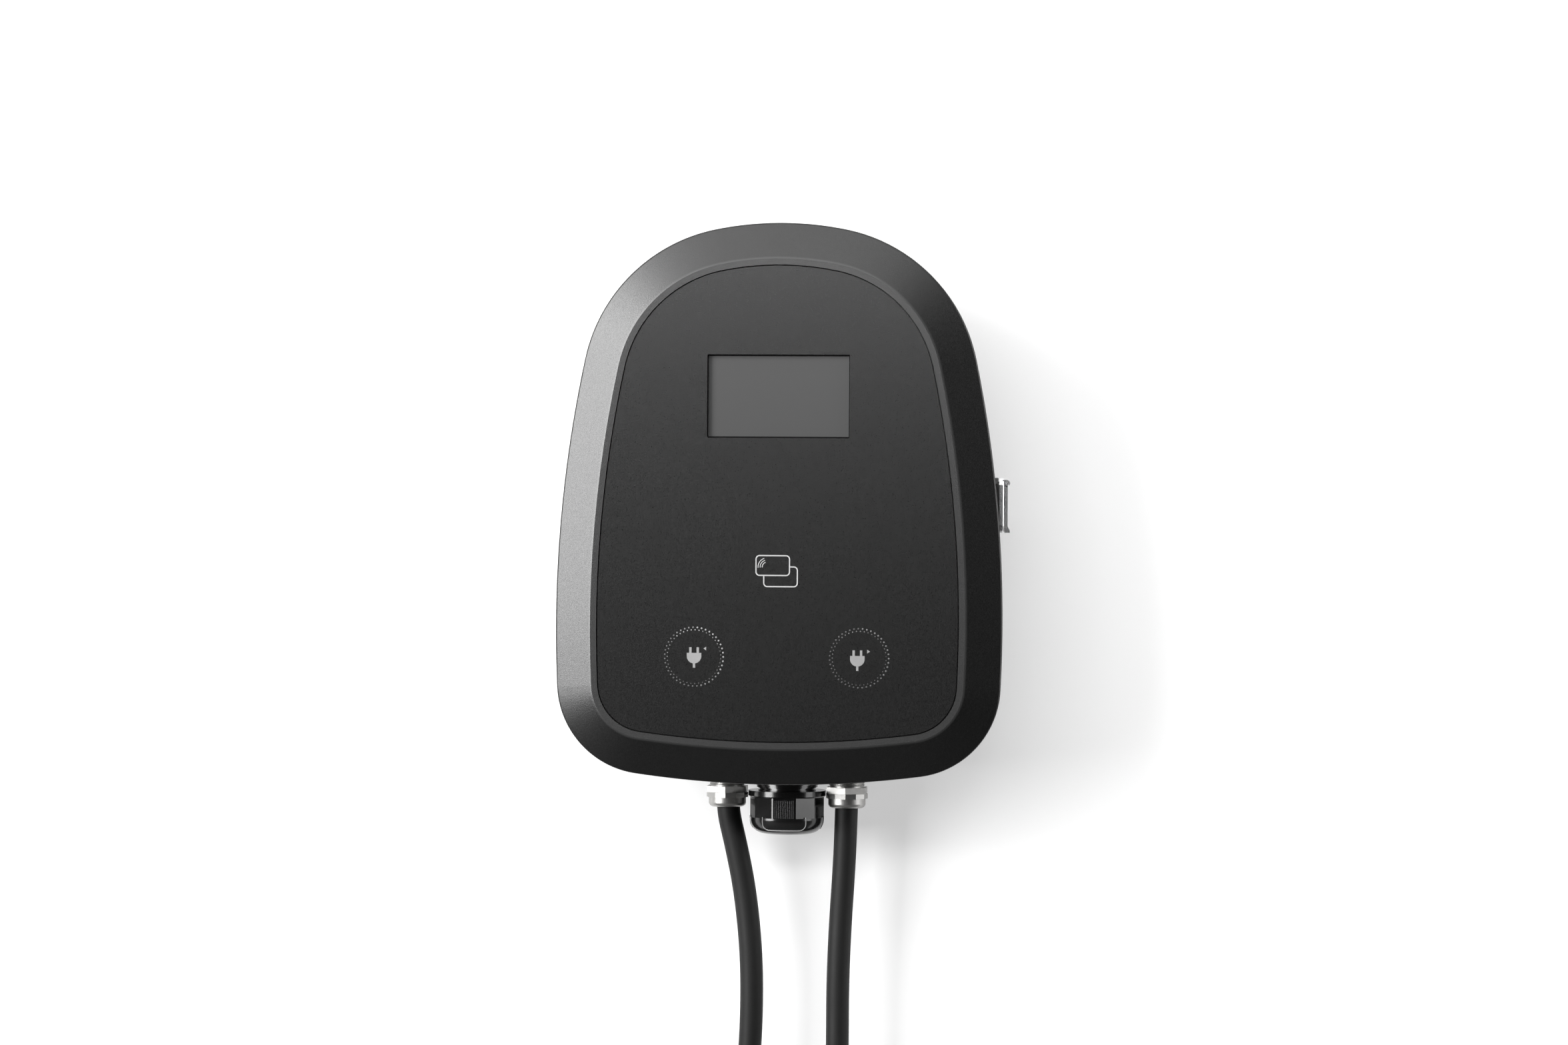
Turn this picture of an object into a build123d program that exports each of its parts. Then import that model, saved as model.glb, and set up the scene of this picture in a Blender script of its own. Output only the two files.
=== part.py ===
"""Wall-mounted charging station with two fixed charging cables.

X is to the right, Z is up and the wall is the plane Y = 0. The object stands out
from the wall towards -Y, so a depth here is a distance from the wall, and
front_plane(depth) is the plane at that depth, looking outwards.
The origin is the centre of the four wall bolts.
"""

from build123d import *
from math import cos, pi, radians, sin, tan
import os

os.makedirs("parts", exist_ok=True)

# Casing outline: tangent arcs from the top centre down to the bottom centre.
CASING_TOP = 189.4
CASING_ARCS = ((222.9, 11.5), (113.0, 66.57), (865.5, 14.79), (62.0, 79.35))

# Depths from the wall.
HOUSING_FRONT = 68.0
DOOR_BACK = 70.0
COVER_BACK = 72.5
BEVEL_BACK = 109.0
RIM_FRONT = 118.0
PANEL_SEAT = 114.8
COVER_FLOOR = 111.8

# Casing walls and insets from the widest outline.
WALL = 3.0
COVER_DRAFT = 1.7
BEVEL_WIDTH = 24.7
PANEL_POCKET = 28.8
PANEL_EDGE = 29.6
PANEL_THICKNESS = 3.0
HOUSING_INSET = 16.0
HOUSING_DRAFT = 2.4
HOUSING_WALL = 4.0
FLOOR_BACK = 3.2
FLOOR_FRONT = 7.2
PLATE_BACK = 14.0
PLATE_FRONT = 15.5

# Wall bracket.
BRACKET_SIZE = (180.0, 260.0)
BRACKET_THICKNESS = 3.0
WALL_BOLTS = (150.0, 220.0)
WALL_BOLT_RADIUS = 4.25
HOUSING_SCREWS = (120.0, 160.0)

# Modules clipped to the rail, as widths, middles and depths.
RAIL_FRONT = 23.0
MODULE_HEIGHT = 70.0
BREAKER_SPOTS = (-40.0, 4.0)
SUPPLY_X = 52.0
TERMINALS_HEIGHT = -88.0

# Depths of the boards in the door.
BOARD_BACK = 98.4
CONTROL_BOARD_FRONT = 100.0
SMALL_BOARD_BACK = 107.8
SMALL_BOARD_FRONT = 109.4
GLASS_BACK = 113.2

# Display, light rings and card reader.
DISPLAY_HEIGHT = 72.1
DISPLAY_WINDOW = (96.2, 56.1)
DISPLAY_GLASS = (100.0, 60.0)
RING_SPREAD = 111.4
RING_HEIGHT = -103.3
RING_HOLE = 22.0
READER_HEIGHT = -45.5

# Door hinge on the left.
HINGE_X = -140.0
HINGE_DEPTH = 62.0
HINGE_HEIGHTS = (35.0, -95.0)
HINGE_RADIUS = 3.8
HINGE_PIN = 1.9
HINGE_RUNNING = 0.07
HINGE_GAP = 0.35
DOOR_KNUCKLE = 16.0
HOUSING_KNUCKLE = 9.6

# Lock on the right side of the door.
LOCK_DEPTH = 88.0
LOCK_SEAT = 146.6
LOCK_PAD = (37.0, 25.0)
LOCK_GASKET = 1.4
LOCK_PLATE = 3.0
LOCK_FACE = LOCK_SEAT + LOCK_GASKET + LOCK_PLATE
BARREL_RADIUS = 9.5
PLUG_RADIUS = 6.0
PLUG_RUNNING = 0.05
CAM_X = 119.5
CAM_THICKNESS = 2.5
CAM_BACK = CAM_X + CAM_THICKNESS
STRIKER_DEPTH = 60.0
STRIKER_RADIUS = 2.0
FLAP_PIVOT = (LOCK_FACE + 1.6, 15.2)
FLAP_WIDTH = 17.0

# Cable glands under the housing.
GLAND_DEPTH = 34.0
GLAND_PITCH = 41.5
GLAND_SEAT = -185.0
BOSS_SIZE = (140.0, 58.0)
BOSS_TOP = -160.0
BOSS_WALL = 4.0
POCKET_TOP = -150.0
POCKET_FLOOR = GLAND_SEAT + BOSS_WALL
M25 = 12.5
M25_THREAD_TOP = POCKET_FLOOR + 8.0
M25_HEXAGON = GLAND_SEAT - 10.0
M25_CAP_TOP = GLAND_SEAT - 14.4
M25_CAP_RING = 3.4
M25_CAP_END = 6.6
M40 = 20.0
M40_THREAD_TOP = POCKET_FLOOR + 10.0
M40_COLLAR = 22.3
M40_FLANGE_TOP = -197.6
M40_FLANGE = 26.8
M40_CAP_TOP = -202.0
M40_CAP_LENGTH = 25.4
M40_CAP_RADIUS = 25.6
M40_FLATS = 24.5
M40_FLAT_LENGTH = 14.0
M40_CAP_SIDES = 10
M40_PLUG_TOP = M40_CAP_TOP - 9.2

# Charging cables.
CABLE = 16.0
COIL_RADII = (74.0, 90.0, 106.0)
COIL_HEIGHT = -505.0
COIL_X = {"left": -133.5, "right": 141.0}
TAIL_TOP = COIL_HEIGHT - 62.0
TAIL_DEPTH = GLAND_DEPTH + CABLE
LEFT_ROUTE = (
    (-41.5, -192.0),
    (-41.5, -211.0),
    (-35.7, -234.0),
    (-28.6, -268.0),
    (-23.9, -312.0),
    (-23.5, -356.0),
    (-26.2, -400.0),
    (-27.5, -455.0),
)
RIGHT_ROUTE = (
    (41.6, -193.0),
    (41.3, -211.0),
    (40.1, -248.0),
    (37.4, -291.0),
    (36.0, -331.0),
    (36.1, -372.0),
    (35.9, -414.0),
    (35.0, -455.0),
)

# Vehicle connectors hanging from the coils.
BOOT_TOP = -598.0
GRIP_TOP = -636.0
COLLAR_TOP = -745.0
NOSE_TOP = -760.0
NOSE_END = -795.0
NOSE_RADIUS = 28.0


def front_plane(depth):
    """The plane at this depth from the wall, with X right, Z up, facing out."""
    return Plane.XZ.offset(depth)


def bottom_plane(height):
    """The level plane at this height, facing down."""
    return Plane((0, 0, height), x_dir=(1, 0, 0), z_dir=(0, 0, -1))


def side_plane(x):
    """The plane square to X at this place, with local x along -Y (depth), y up."""
    return Plane((x, 0, 0), x_dir=(0, -1, 0), z_dir=(-1, 0, 0))


def closing_arc():
    """Radius and angle of the bottom arc, which brings the outline back to X = 0."""
    heading = 0.0
    reach = 0.0
    for radius, angle in CASING_ARCS:
        reach += radius * (sin(radians(heading + angle)) - sin(radians(heading)))
        heading += angle
    return reach / sin(radians(heading)), 180.0 - heading


ALL_ARCS = (*CASING_ARCS, closing_arc())


def casing_outline(inset):
    """The casing seen from the front, drawn inside its widest line by inset."""
    with BuildSketch() as outline:
        with BuildLine():
            start = (0, CASING_TOP - inset)
            heading = (1, 0)
            for radius, angle in ALL_ARCS:
                arc = JernArc(start, heading, radius - inset, -angle)
                start = arc @ 1
                heading = arc % 1
            mirror(about=Plane.YZ)
        make_face()
    return outline.sketch


def outline_point(heading, inset):
    """The point (x, z) of the outline where it has turned by heading degrees."""
    x, z, turned = 0.0, CASING_TOP, 0.0
    for radius, angle in ALL_ARCS:
        step = min(angle, heading - turned)
        x += radius * (sin(radians(turned + step)) - sin(radians(turned)))
        z -= radius * (cos(radians(turned)) - cos(radians(turned + step)))
        turned += step
        if turned >= heading:
            break
    return x - inset * sin(radians(heading)), z - inset * cos(radians(heading))


def casing_slab(back, back_inset, front, front_inset):
    """A slab of the casing's outline between two depths, with sloping sides."""
    with BuildPart() as slab:
        with BuildSketch(front_plane(back)):
            add(casing_outline(back_inset))
        with BuildSketch(front_plane(front)):
            add(casing_outline(front_inset))
        loft(ruled=True)
    return slab.part


def hexagon_nut(height, across_flats, length, bore, x):
    """A nut under the given height, flats facing left and right."""
    with BuildPart() as nut:
        with BuildSketch(bottom_plane(height)):
            with Locations((x, GLAND_DEPTH)):
                RegularPolygon(across_flats / 2, 6, major_radius=False, rotation=30)
                Circle(bore, mode=Mode.SUBTRACT)
        extrude(amount=length)
    return nut.part


def save(piece, name):
    """Labels a finished piece and writes its STEP file."""
    piece.label = name
    export_step(piece, f"parts/{name}.step")


# ---------------------------------------------------------------- fixed side

with BuildPart() as wall_bracket:
    with BuildSketch(front_plane(0)):
        RectangleRounded(*BRACKET_SIZE, 12)
        with GridLocations(*WALL_BOLTS, 2, 2):
            Circle(WALL_BOLT_RADIUS, mode=Mode.SUBTRACT)
        with GridLocations(*HOUSING_SCREWS, 2, 2):
            Circle(2.1, mode=Mode.SUBTRACT)
        RectangleRounded(80, 130, 10, mode=Mode.SUBTRACT)
    extrude(amount=BRACKET_THICKNESS)
save(wall_bracket.part, "wall_bracket")

housing_slope = HOUSING_DRAFT / HOUSING_FRONT
STANDOFFS = (170.0, 200.0)
with BuildPart() as rear_housing:
    add(casing_slab(0, HOUSING_INSET + HOUSING_DRAFT, HOUSING_FRONT, HOUSING_INSET))
    # The hollow behind the floor takes the wall bracket.
    hollow = HOUSING_INSET + HOUSING_DRAFT + HOUSING_WALL
    with BuildSketch(front_plane(0)):
        add(casing_outline(hollow))
    extrude(amount=FLOOR_BACK, mode=Mode.SUBTRACT)
    floor_inset = hollow - housing_slope * FLOOR_FRONT
    add(
        casing_slab(FLOOR_FRONT, floor_inset, HOUSING_FRONT, HOUSING_INSET + HOUSING_WALL),
        mode=Mode.SUBTRACT,
    )
    # Square boss for the three cable glands.
    with BuildSketch(bottom_plane(BOSS_TOP)):
        with Locations((0, GLAND_DEPTH)):
            RectangleRounded(*BOSS_SIZE, 8)
    extrude(amount=BOSS_TOP - GLAND_SEAT)
    with BuildSketch(bottom_plane(POCKET_TOP)):
        with Locations((0, GLAND_DEPTH)):
            RectangleRounded(BOSS_SIZE[0] - 2 * BOSS_WALL, BOSS_SIZE[1] - 2 * BOSS_WALL, 5)
    extrude(amount=POCKET_TOP - POCKET_FLOOR, mode=Mode.SUBTRACT)
    with BuildSketch(bottom_plane(POCKET_FLOOR + 5)):
        with Locations((0, GLAND_DEPTH)):
            Circle(M40 + 0.1)
        with Locations((-GLAND_PITCH, GLAND_DEPTH), (GLAND_PITCH, GLAND_DEPTH)):
            Circle(M25 + 0.1)
    extrude(amount=12, mode=Mode.SUBTRACT)
    # Posts that carry the mounting plate.
    with BuildSketch(front_plane(FLOOR_FRONT - 1)):
        with GridLocations(*STANDOFFS, 2, 2):
            Circle(5)
    extrude(amount=PLATE_BACK + 1 - FLOOR_FRONT)
    with BuildSketch(front_plane(FLOOR_FRONT - 1)):
        with GridLocations(*STANDOFFS, 2, 2):
            Circle(1.9)
    extrude(amount=PLATE_BACK + 1 - FLOOR_FRONT, mode=Mode.SUBTRACT)
    with BuildSketch(front_plane(0)):
        with GridLocations(*HOUSING_SCREWS, 2, 2):
            Circle(2.6)
    extrude(amount=10, mode=Mode.SUBTRACT)
    # Hinge ears cast on the left wall.
    for middle in HINGE_HEIGHTS:
        for side in (-1, 1):
            ear = middle + side * (DOOR_KNUCKLE / 2 + HINGE_GAP + HOUSING_KNUCKLE / 2)
            wall_x = -outline_point(82.3 if middle > 0 else 91, 19.5)[0]
            with BuildSketch(Plane.XY.offset(ear - HOUSING_KNUCKLE / 2)):
                with Locations((HINGE_X, -HINGE_DEPTH)):
                    Circle(HINGE_RADIUS)
                with Locations(((HINGE_X + wall_x) / 2, -HINGE_DEPTH)):
                    Rectangle(wall_x - HINGE_X, 6)
                with Locations((HINGE_X, -HINGE_DEPTH)):
                    Circle(HINGE_PIN, mode=Mode.SUBTRACT)
            extrude(amount=HOUSING_KNUCKLE)
    # Seat for the striker pin on the right wall.
    with BuildSketch(side_plane(128.0)):
        with Locations((STRIKER_DEPTH, 0)):
            Circle(6)
    extrude(amount=5)
    with BuildSketch(side_plane(128.0)):
        with Locations((STRIKER_DEPTH, 0)):
            Circle(STRIKER_RADIUS)
    extrude(amount=5, mode=Mode.SUBTRACT)
save(rear_housing.part, "rear_housing")

with BuildPart() as housing_screws:
    with BuildSketch(front_plane(0.4)):
        with GridLocations(*HOUSING_SCREWS, 2, 2):
            Circle(2.1)
    extrude(amount=FLOOR_FRONT - 0.4)
    with BuildSketch(front_plane(FLOOR_FRONT)):
        with GridLocations(*HOUSING_SCREWS, 2, 2):
            Circle(4.5)
            RegularPolygon(1.9, 6, mode=Mode.SUBTRACT)
    extrude(amount=3)
save(housing_screws.part, "housing_screws")

with BuildPart() as door_gasket:
    with BuildSketch(front_plane(HOUSING_FRONT)):
        add(casing_outline(HOUSING_INSET + 0.6))
        add(casing_outline(HOUSING_INSET + HOUSING_WALL - 0.6), mode=Mode.SUBTRACT)
    extrude(amount=DOOR_BACK - HOUSING_FRONT - 0.3)
save(door_gasket.part, "door_gasket")

with BuildPart() as hinge_pins:
    for middle in HINGE_HEIGHTS:
        with BuildSketch(Plane.XY.offset(middle - 18.2)):
            with Locations((HINGE_X, -HINGE_DEPTH)):
                Circle(HINGE_PIN)
        extrude(amount=36.4)
        with BuildSketch(Plane.XY.offset(middle + 18.2)):
            with Locations((HINGE_X, -HINGE_DEPTH)):
                Circle(3)
        extrude(amount=1.6)
save(hinge_pins.part, "hinge_pins")

with BuildPart() as striker_pin:
    with BuildSketch(side_plane(127.5)):
        with Locations((STRIKER_DEPTH, 0)):
            Circle(STRIKER_RADIUS)
    extrude(amount=10.5)
    with BuildSketch(side_plane(117.0)):
        with Locations((STRIKER_DEPTH, 0)):
            Circle(2.8)
    extrude(amount=1.5)
save(striker_pin.part, "striker_pin")

# Cable glands: nickel-plated brass for the charging cables.
for side, x in (("left", -GLAND_PITCH), ("right", GLAND_PITCH)):
    with BuildPart() as gland_body:
        with BuildSketch(bottom_plane(M25_THREAD_TOP)):
            with Locations((x, GLAND_DEPTH)):
                Circle(M25)
        extrude(amount=M25_THREAD_TOP - GLAND_SEAT)
        with BuildSketch(bottom_plane(GLAND_SEAT)):
            with Locations((x, GLAND_DEPTH)):
                Circle(13.4)
        extrude(amount=1.6)
        with BuildSketch(bottom_plane(GLAND_SEAT)):
            with Locations((x, GLAND_DEPTH)):
                Circle(11.6)
        extrude(amount=GLAND_SEAT - M25_HEXAGON)
        with BuildSketch(bottom_plane(M25_HEXAGON)):
            with Locations((x, GLAND_DEPTH)):
                RegularPolygon(13.5, 6, major_radius=False, rotation=30)
        extrude(amount=4.3)
        with BuildSketch(bottom_plane(M25_THREAD_TOP)):
            with Locations((x, GLAND_DEPTH)):
                Circle(CABLE / 2 + 0.4)
        extrude(amount=30, mode=Mode.SUBTRACT)
    save(gland_body.part, f"gland_body_{side}")

    with BuildPart() as gland_cap:
        with BuildSketch(bottom_plane(M25_CAP_TOP)):
            with Locations((x, GLAND_DEPTH)):
                RegularPolygon(14.4, 12, major_radius=True)
        extrude(amount=M25_CAP_RING)
        with BuildSketch(bottom_plane(M25_CAP_TOP - M25_CAP_RING)):
            with Locations((x, GLAND_DEPTH)):
                Circle(12.9)
        extrude(amount=M25_CAP_END)
        fillet(gland_cap.edges().filter_by(GeomType.CIRCLE).sort_by(Axis.Z)[0], 3)
        with BuildSketch(bottom_plane(M25_CAP_TOP)):
            with Locations((x, GLAND_DEPTH)):
                Circle(11)
        extrude(amount=5.6, mode=Mode.SUBTRACT)
        with BuildSketch(bottom_plane(M25_CAP_TOP - 5.6)):
            with Locations((x, GLAND_DEPTH)):
                Circle(CABLE / 2 + 0.6)
        extrude(amount=M25_CAP_END, mode=Mode.SUBTRACT)
    save(gland_cap.part, f"gland_cap_{side}")

with BuildPart() as gland_seals:
    for x in (-GLAND_PITCH, GLAND_PITCH):
        with BuildSketch(bottom_plane(M25_CAP_TOP)):
            with Locations((x, GLAND_DEPTH)):
                Circle(10.9)
                Circle(CABLE / 2 + 0.3, mode=Mode.SUBTRACT)
        extrude(amount=5.5)
save(gland_seals.part, "gland_seals")

with BuildPart() as gland_locknuts:
    for x in (-GLAND_PITCH, GLAND_PITCH):
        add(hexagon_nut(POCKET_FLOOR + 4, 30, 4, M25, x))
save(gland_locknuts.part, "gland_locknuts")

# The larger nylon gland in the middle takes the supply cable and is blanked off.
with BuildPart() as mains_gland_body:
    with BuildSketch(bottom_plane(M40_THREAD_TOP)):
        with Locations((0, GLAND_DEPTH)):
            Circle(M40)
    extrude(amount=M40_THREAD_TOP - M40_FLANGE_TOP)
    for radius, length in ((M40_COLLAR, 8.6), (M40_COLLAR - 1.2, 10.4)):
        with BuildSketch(bottom_plane(GLAND_SEAT)):
            with Locations((0, GLAND_DEPTH)):
                Circle(radius)
        extrude(amount=length)
    with BuildSketch(bottom_plane(M40_FLANGE_TOP + 1.6)):
        with Locations((0, GLAND_DEPTH)):
            Circle(M40 + 1)
            Circle(M40 - 0.7, mode=Mode.SUBTRACT)
    extrude(amount=1, mode=Mode.SUBTRACT)
    with BuildSketch(bottom_plane(M40_FLANGE_TOP)):
        with Locations((0, GLAND_DEPTH)):
            Circle(M40_FLANGE)
    extrude(amount=M40_FLANGE_TOP - M40_CAP_TOP)
    chamfer(mains_gland_body.edges().filter_by(GeomType.CIRCLE).sort_by(Axis.Z)[0], 0.8)
    with BuildSketch(bottom_plane(M40_THREAD_TOP)):
        with Locations((0, GLAND_DEPTH)):
            Circle(15)
    extrude(amount=40, mode=Mode.SUBTRACT)
save(mains_gland_body.part, "mains_gland_body")

with BuildPart() as mains_gland_cap:
    with BuildSketch(bottom_plane(M40_CAP_TOP)):
        with Locations((0, GLAND_DEPTH)):
            Circle(M40_CAP_RADIUS)
    extrude(amount=M40_CAP_LENGTH)
    fillet(mains_gland_cap.edges().filter_by(GeomType.CIRCLE).sort_by(Axis.Z)[0], 10)
    # Grip flats, cut down to where the domed end begins.
    with BuildSketch(bottom_plane(M40_CAP_TOP)):
        with Locations((0, GLAND_DEPTH)):
            Circle(30)
            RegularPolygon(M40_FLATS, M40_CAP_SIDES, major_radius=False, mode=Mode.SUBTRACT)
    extrude(amount=M40_FLAT_LENGTH, mode=Mode.SUBTRACT)
    # Fine ribs on every other flat.
    for turn in range(0, 360, 72):
        for rib in range(-5, 6):
            spot = Vector(rib * 1.25, M40_FLATS, 0).rotate(Axis.Z, turn)
            with BuildSketch(bottom_plane(M40_CAP_TOP - 1.6)):
                with Locations((spot.X, GLAND_DEPTH + spot.Y)):
                    Circle(0.4)
            extrude(amount=M40_FLAT_LENGTH - 1.8, mode=Mode.SUBTRACT)
    with BuildSketch(bottom_plane(M40_CAP_TOP)):
        with Locations((0, GLAND_DEPTH)):
            Circle(M40 + 0.5)
    extrude(amount=M40_CAP_LENGTH - 4, mode=Mode.SUBTRACT)
    with BuildSketch(bottom_plane(M40_CAP_TOP - M40_CAP_LENGTH + 5)):
        with Locations((0, GLAND_DEPTH)):
            Circle(14)
    extrude(amount=6, mode=Mode.SUBTRACT)
save(mains_gland_cap.part, "mains_gland_cap")

with BuildPart() as mains_gland_plug:
    with BuildSketch(bottom_plane(M40_PLUG_TOP)):
        with Locations((0, GLAND_DEPTH)):
            Circle(M40 + 0.3)
    extrude(amount=12)
    with BuildSketch(bottom_plane(M40_PLUG_TOP - 12)):
        with Locations((0, GLAND_DEPTH)):
            Circle(13.9)
    extrude(amount=3)
save(mains_gland_plug.part, "mains_gland_plug")

with BuildPart() as mains_gland_locknut:
    with BuildSketch(bottom_plane(POCKET_FLOOR + 5)):
        with Locations((0, GLAND_DEPTH)):
            Circle(24.4)
            Circle(M40, mode=Mode.SUBTRACT)
            with PolarLocations(24.6, 8):
                Rectangle(3, 5, mode=Mode.SUBTRACT)
    extrude(amount=5)
save(mains_gland_locknut.part, "mains_gland_locknut")

# ------------------------------------------------------- inside the housing

with BuildPart() as mounting_plate:
    with BuildSketch(front_plane(PLATE_BACK)):
        RectangleRounded(190, 220, 6)
        with GridLocations(*STANDOFFS, 2, 2):
            Circle(2.2, mode=Mode.SUBTRACT)
    extrude(amount=PLATE_FRONT - PLATE_BACK)
save(mounting_plate.part, "mounting_plate")

with BuildPart() as plate_screws:
    with BuildSketch(front_plane(PLATE_FRONT)):
        with GridLocations(*STANDOFFS, 2, 2):
            Circle(4)
            RegularPolygon(1.5, 6, mode=Mode.SUBTRACT)
    extrude(amount=2.4)
    with BuildSketch(front_plane(9)):
        with GridLocations(*STANDOFFS, 2, 2):
            Circle(1.9)
    extrude(amount=6.5)
save(plate_screws.part, "plate_screws")

with BuildPart() as din_rail:
    with BuildSketch(Plane((-80, 0, 0), x_dir=(0, -1, 0), z_dir=(1, 0, 0))):
        with BuildLine():
            Polyline(
                (23.0, -87.5), (23.0, -83.0), (16.5, -83.0), (16.5, -57.0), (23.0, -57.0),
                (23.0, -52.5), (22.0, -52.5), (22.0, -56.0), (15.5, -56.0), (15.5, -84.0),
                (22.0, -84.0), (22.0, -87.5), (23.0, -87.5),
            )
        make_face()
    extrude(amount=160)
save(din_rail.part, "din_rail")

MODULE_WIDTH = 36.0
with BuildPart() as breakers:
    for x in BREAKER_SPOTS:
        with BuildSketch(front_plane(RAIL_FRONT)):
            with Locations((x, MODULE_HEIGHT)):
                Rectangle(MODULE_WIDTH, 84)
        extrude(amount=22)
        with BuildSketch(front_plane(45.0)):
            with Locations((x, MODULE_HEIGHT)):
                Rectangle(MODULE_WIDTH, 46)
        extrude(amount=16)
save(breakers.part, "breakers")

with BuildPart() as breaker_levers:
    for x in BREAKER_SPOTS:
        with BuildSketch(front_plane(61.0)):
            with Locations((x, 72)):
                Rectangle(MODULE_WIDTH - 8, 9)
        extrude(amount=4)
save(breaker_levers.part, "breaker_levers")

with BuildPart() as power_supply:
    with BuildSketch(front_plane(RAIL_FRONT)):
        with Locations((SUPPLY_X, MODULE_HEIGHT)):
            Rectangle(50, 84)
    extrude(amount=34)
    with BuildSketch(front_plane(57.0)):
        with Locations((SUPPLY_X, MODULE_HEIGHT)):
            with GridLocations(6, 0, 6, 1):
                SlotOverall(50, 2.4, rotation=90)
    extrude(amount=-2, mode=Mode.SUBTRACT)
save(power_supply.part, "power_supply")

BOARD = (160.0, 84.0)
BOARD_HEIGHT = -20.0
with BuildPart() as power_board:
    with BuildSketch(front_plane(PLATE_FRONT)):
        with Locations((0, BOARD_HEIGHT)):
            with GridLocations(BOARD[0] - 12, BOARD[1] - 12, 2, 2):
                Circle(3)
    extrude(amount=6)
    with BuildSketch(front_plane(21.5)):
        with Locations((0, BOARD_HEIGHT)):
            Rectangle(*BOARD)
    extrude(amount=1.6)
save(power_board.part, "power_board")

for side, x in (("left", -40.0), ("right", 40.0)):
    with BuildPart() as contactor:
        with BuildSketch(front_plane(23.1)):
            with Locations((x, BOARD_HEIGHT + 4)):
                Rectangle(44, 60)
        extrude(amount=30)
        fillet(contactor.edges().filter_by(Axis.Y), 2)
        with BuildSketch(front_plane(53.1)):
            with Locations((x, BOARD_HEIGHT + 4)):
                with GridLocations(10, 50, 4, 2):
                    Rectangle(6, 6)
        extrude(amount=-12, mode=Mode.SUBTRACT)
        with BuildSketch(front_plane(53.1)):
            with Locations((x, BOARD_HEIGHT + 4)):
                RectangleRounded(30, 26, 2)
        extrude(amount=6)
    save(contactor.part, f"contactor_{side}")

with BuildPart() as current_sensors:
    for x in (-40.0, 40.0):
        with BuildSketch(front_plane(PLATE_FRONT)):
            with Locations((x, TERMINALS_HEIGHT)):
                Circle(17)
                Circle(9, mode=Mode.SUBTRACT)
        extrude(amount=16)
save(current_sensors.part, "current_sensors")

with BuildPart() as terminal_block:
    with BuildSketch(front_plane(PLATE_FRONT)):
        with Locations((0, TERMINALS_HEIGHT)):
            Rectangle(40, 32)
    extrude(amount=30)
    with BuildSketch(front_plane(45.5)):
        with Locations((0, TERMINALS_HEIGHT)):
            with GridLocations(7.6, 20, 5, 2):
                Circle(2.4)
    extrude(amount=-8, mode=Mode.SUBTRACT)
    with BuildSketch(front_plane(45.5)):
        with Locations((0, TERMINALS_HEIGHT)):
            with GridLocations(7.6, 0, 4, 1):
                Rectangle(1, 28)
    extrude(amount=2)
save(terminal_block.part, "terminal_block")

# --------------------------------------------------------------------- door

FRAME_SCREW_HEADINGS = (20.0, 62.0, 80.0, 88.5, 140.0)
frame_screw_spots = []
for heading in FRAME_SCREW_HEADINGS:
    x, z = outline_point(heading, 9.0)
    frame_screw_spots += [(x, z), (-x, z)]

with BuildPart() as front_cover:
    add(casing_slab(COVER_BACK, COVER_DRAFT, BEVEL_BACK, 0))
    add(casing_slab(BEVEL_BACK, 0, RIM_FRONT, BEVEL_WIDTH))
    fillet(front_cover.edges().filter_by_position(Axis.Y, -BEVEL_BACK - 0.01, -BEVEL_BACK + 0.01), 1.5)
    add(
        casing_slab(COVER_BACK, COVER_DRAFT + WALL, BEVEL_BACK - 2.6, WALL),
        mode=Mode.SUBTRACT,
    )
    add(casing_slab(BEVEL_BACK - 2.6, WALL, COVER_FLOOR, 18), mode=Mode.SUBTRACT)
    with BuildSketch(front_plane(PANEL_SEAT)):
        add(casing_outline(PANEL_POCKET))
    extrude(amount=RIM_FRONT - PANEL_SEAT, mode=Mode.SUBTRACT)
    with BuildSketch(front_plane(COVER_FLOOR)):
        with Locations((0, DISPLAY_HEIGHT)):
            Rectangle(DISPLAY_GLASS[0] + 0.4, DISPLAY_GLASS[1] + 0.4)
        with Locations((0, RING_HEIGHT)):
            with GridLocations(RING_SPREAD, 0, 2, 1):
                Circle(RING_HOLE)
        with Locations((0, READER_HEIGHT)):
            RectangleRounded(60, 44, 3)
    extrude(amount=PANEL_SEAT - COVER_FLOOR, mode=Mode.SUBTRACT)
    # Screw bosses along the wall for the sealing frame.
    with BuildSketch(front_plane(COVER_BACK)):
        with Locations(*frame_screw_spots):
            Circle(5)
    extrude(amount=20)
    with BuildSketch(front_plane(COVER_BACK)):
        with Locations(*frame_screw_spots):
            Circle(1.6)
    extrude(amount=14, mode=Mode.SUBTRACT)
    # Flat pad for the lock, and its hole.
    with BuildSketch(side_plane(LOCK_SEAT)):
        with Locations((LOCK_DEPTH, 0)):
            RectangleRounded(LOCK_PAD[1], LOCK_PAD[0], 4)
    extrude(amount=5.1)
    with BuildSketch(side_plane(LOCK_SEAT)):
        with Locations((LOCK_DEPTH, 0)):
            RectangleRounded(LOCK_PAD[1] + 0.8, LOCK_PAD[0] + 0.8, 4)
    extrude(amount=-6, mode=Mode.SUBTRACT)
    with BuildSketch(side_plane(LOCK_SEAT + 5)):
        with Locations((LOCK_DEPTH, 0)):
            Circle(BARREL_RADIUS)
    extrude(amount=14, mode=Mode.SUBTRACT)
save(front_cover.part, "front_cover")

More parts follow.
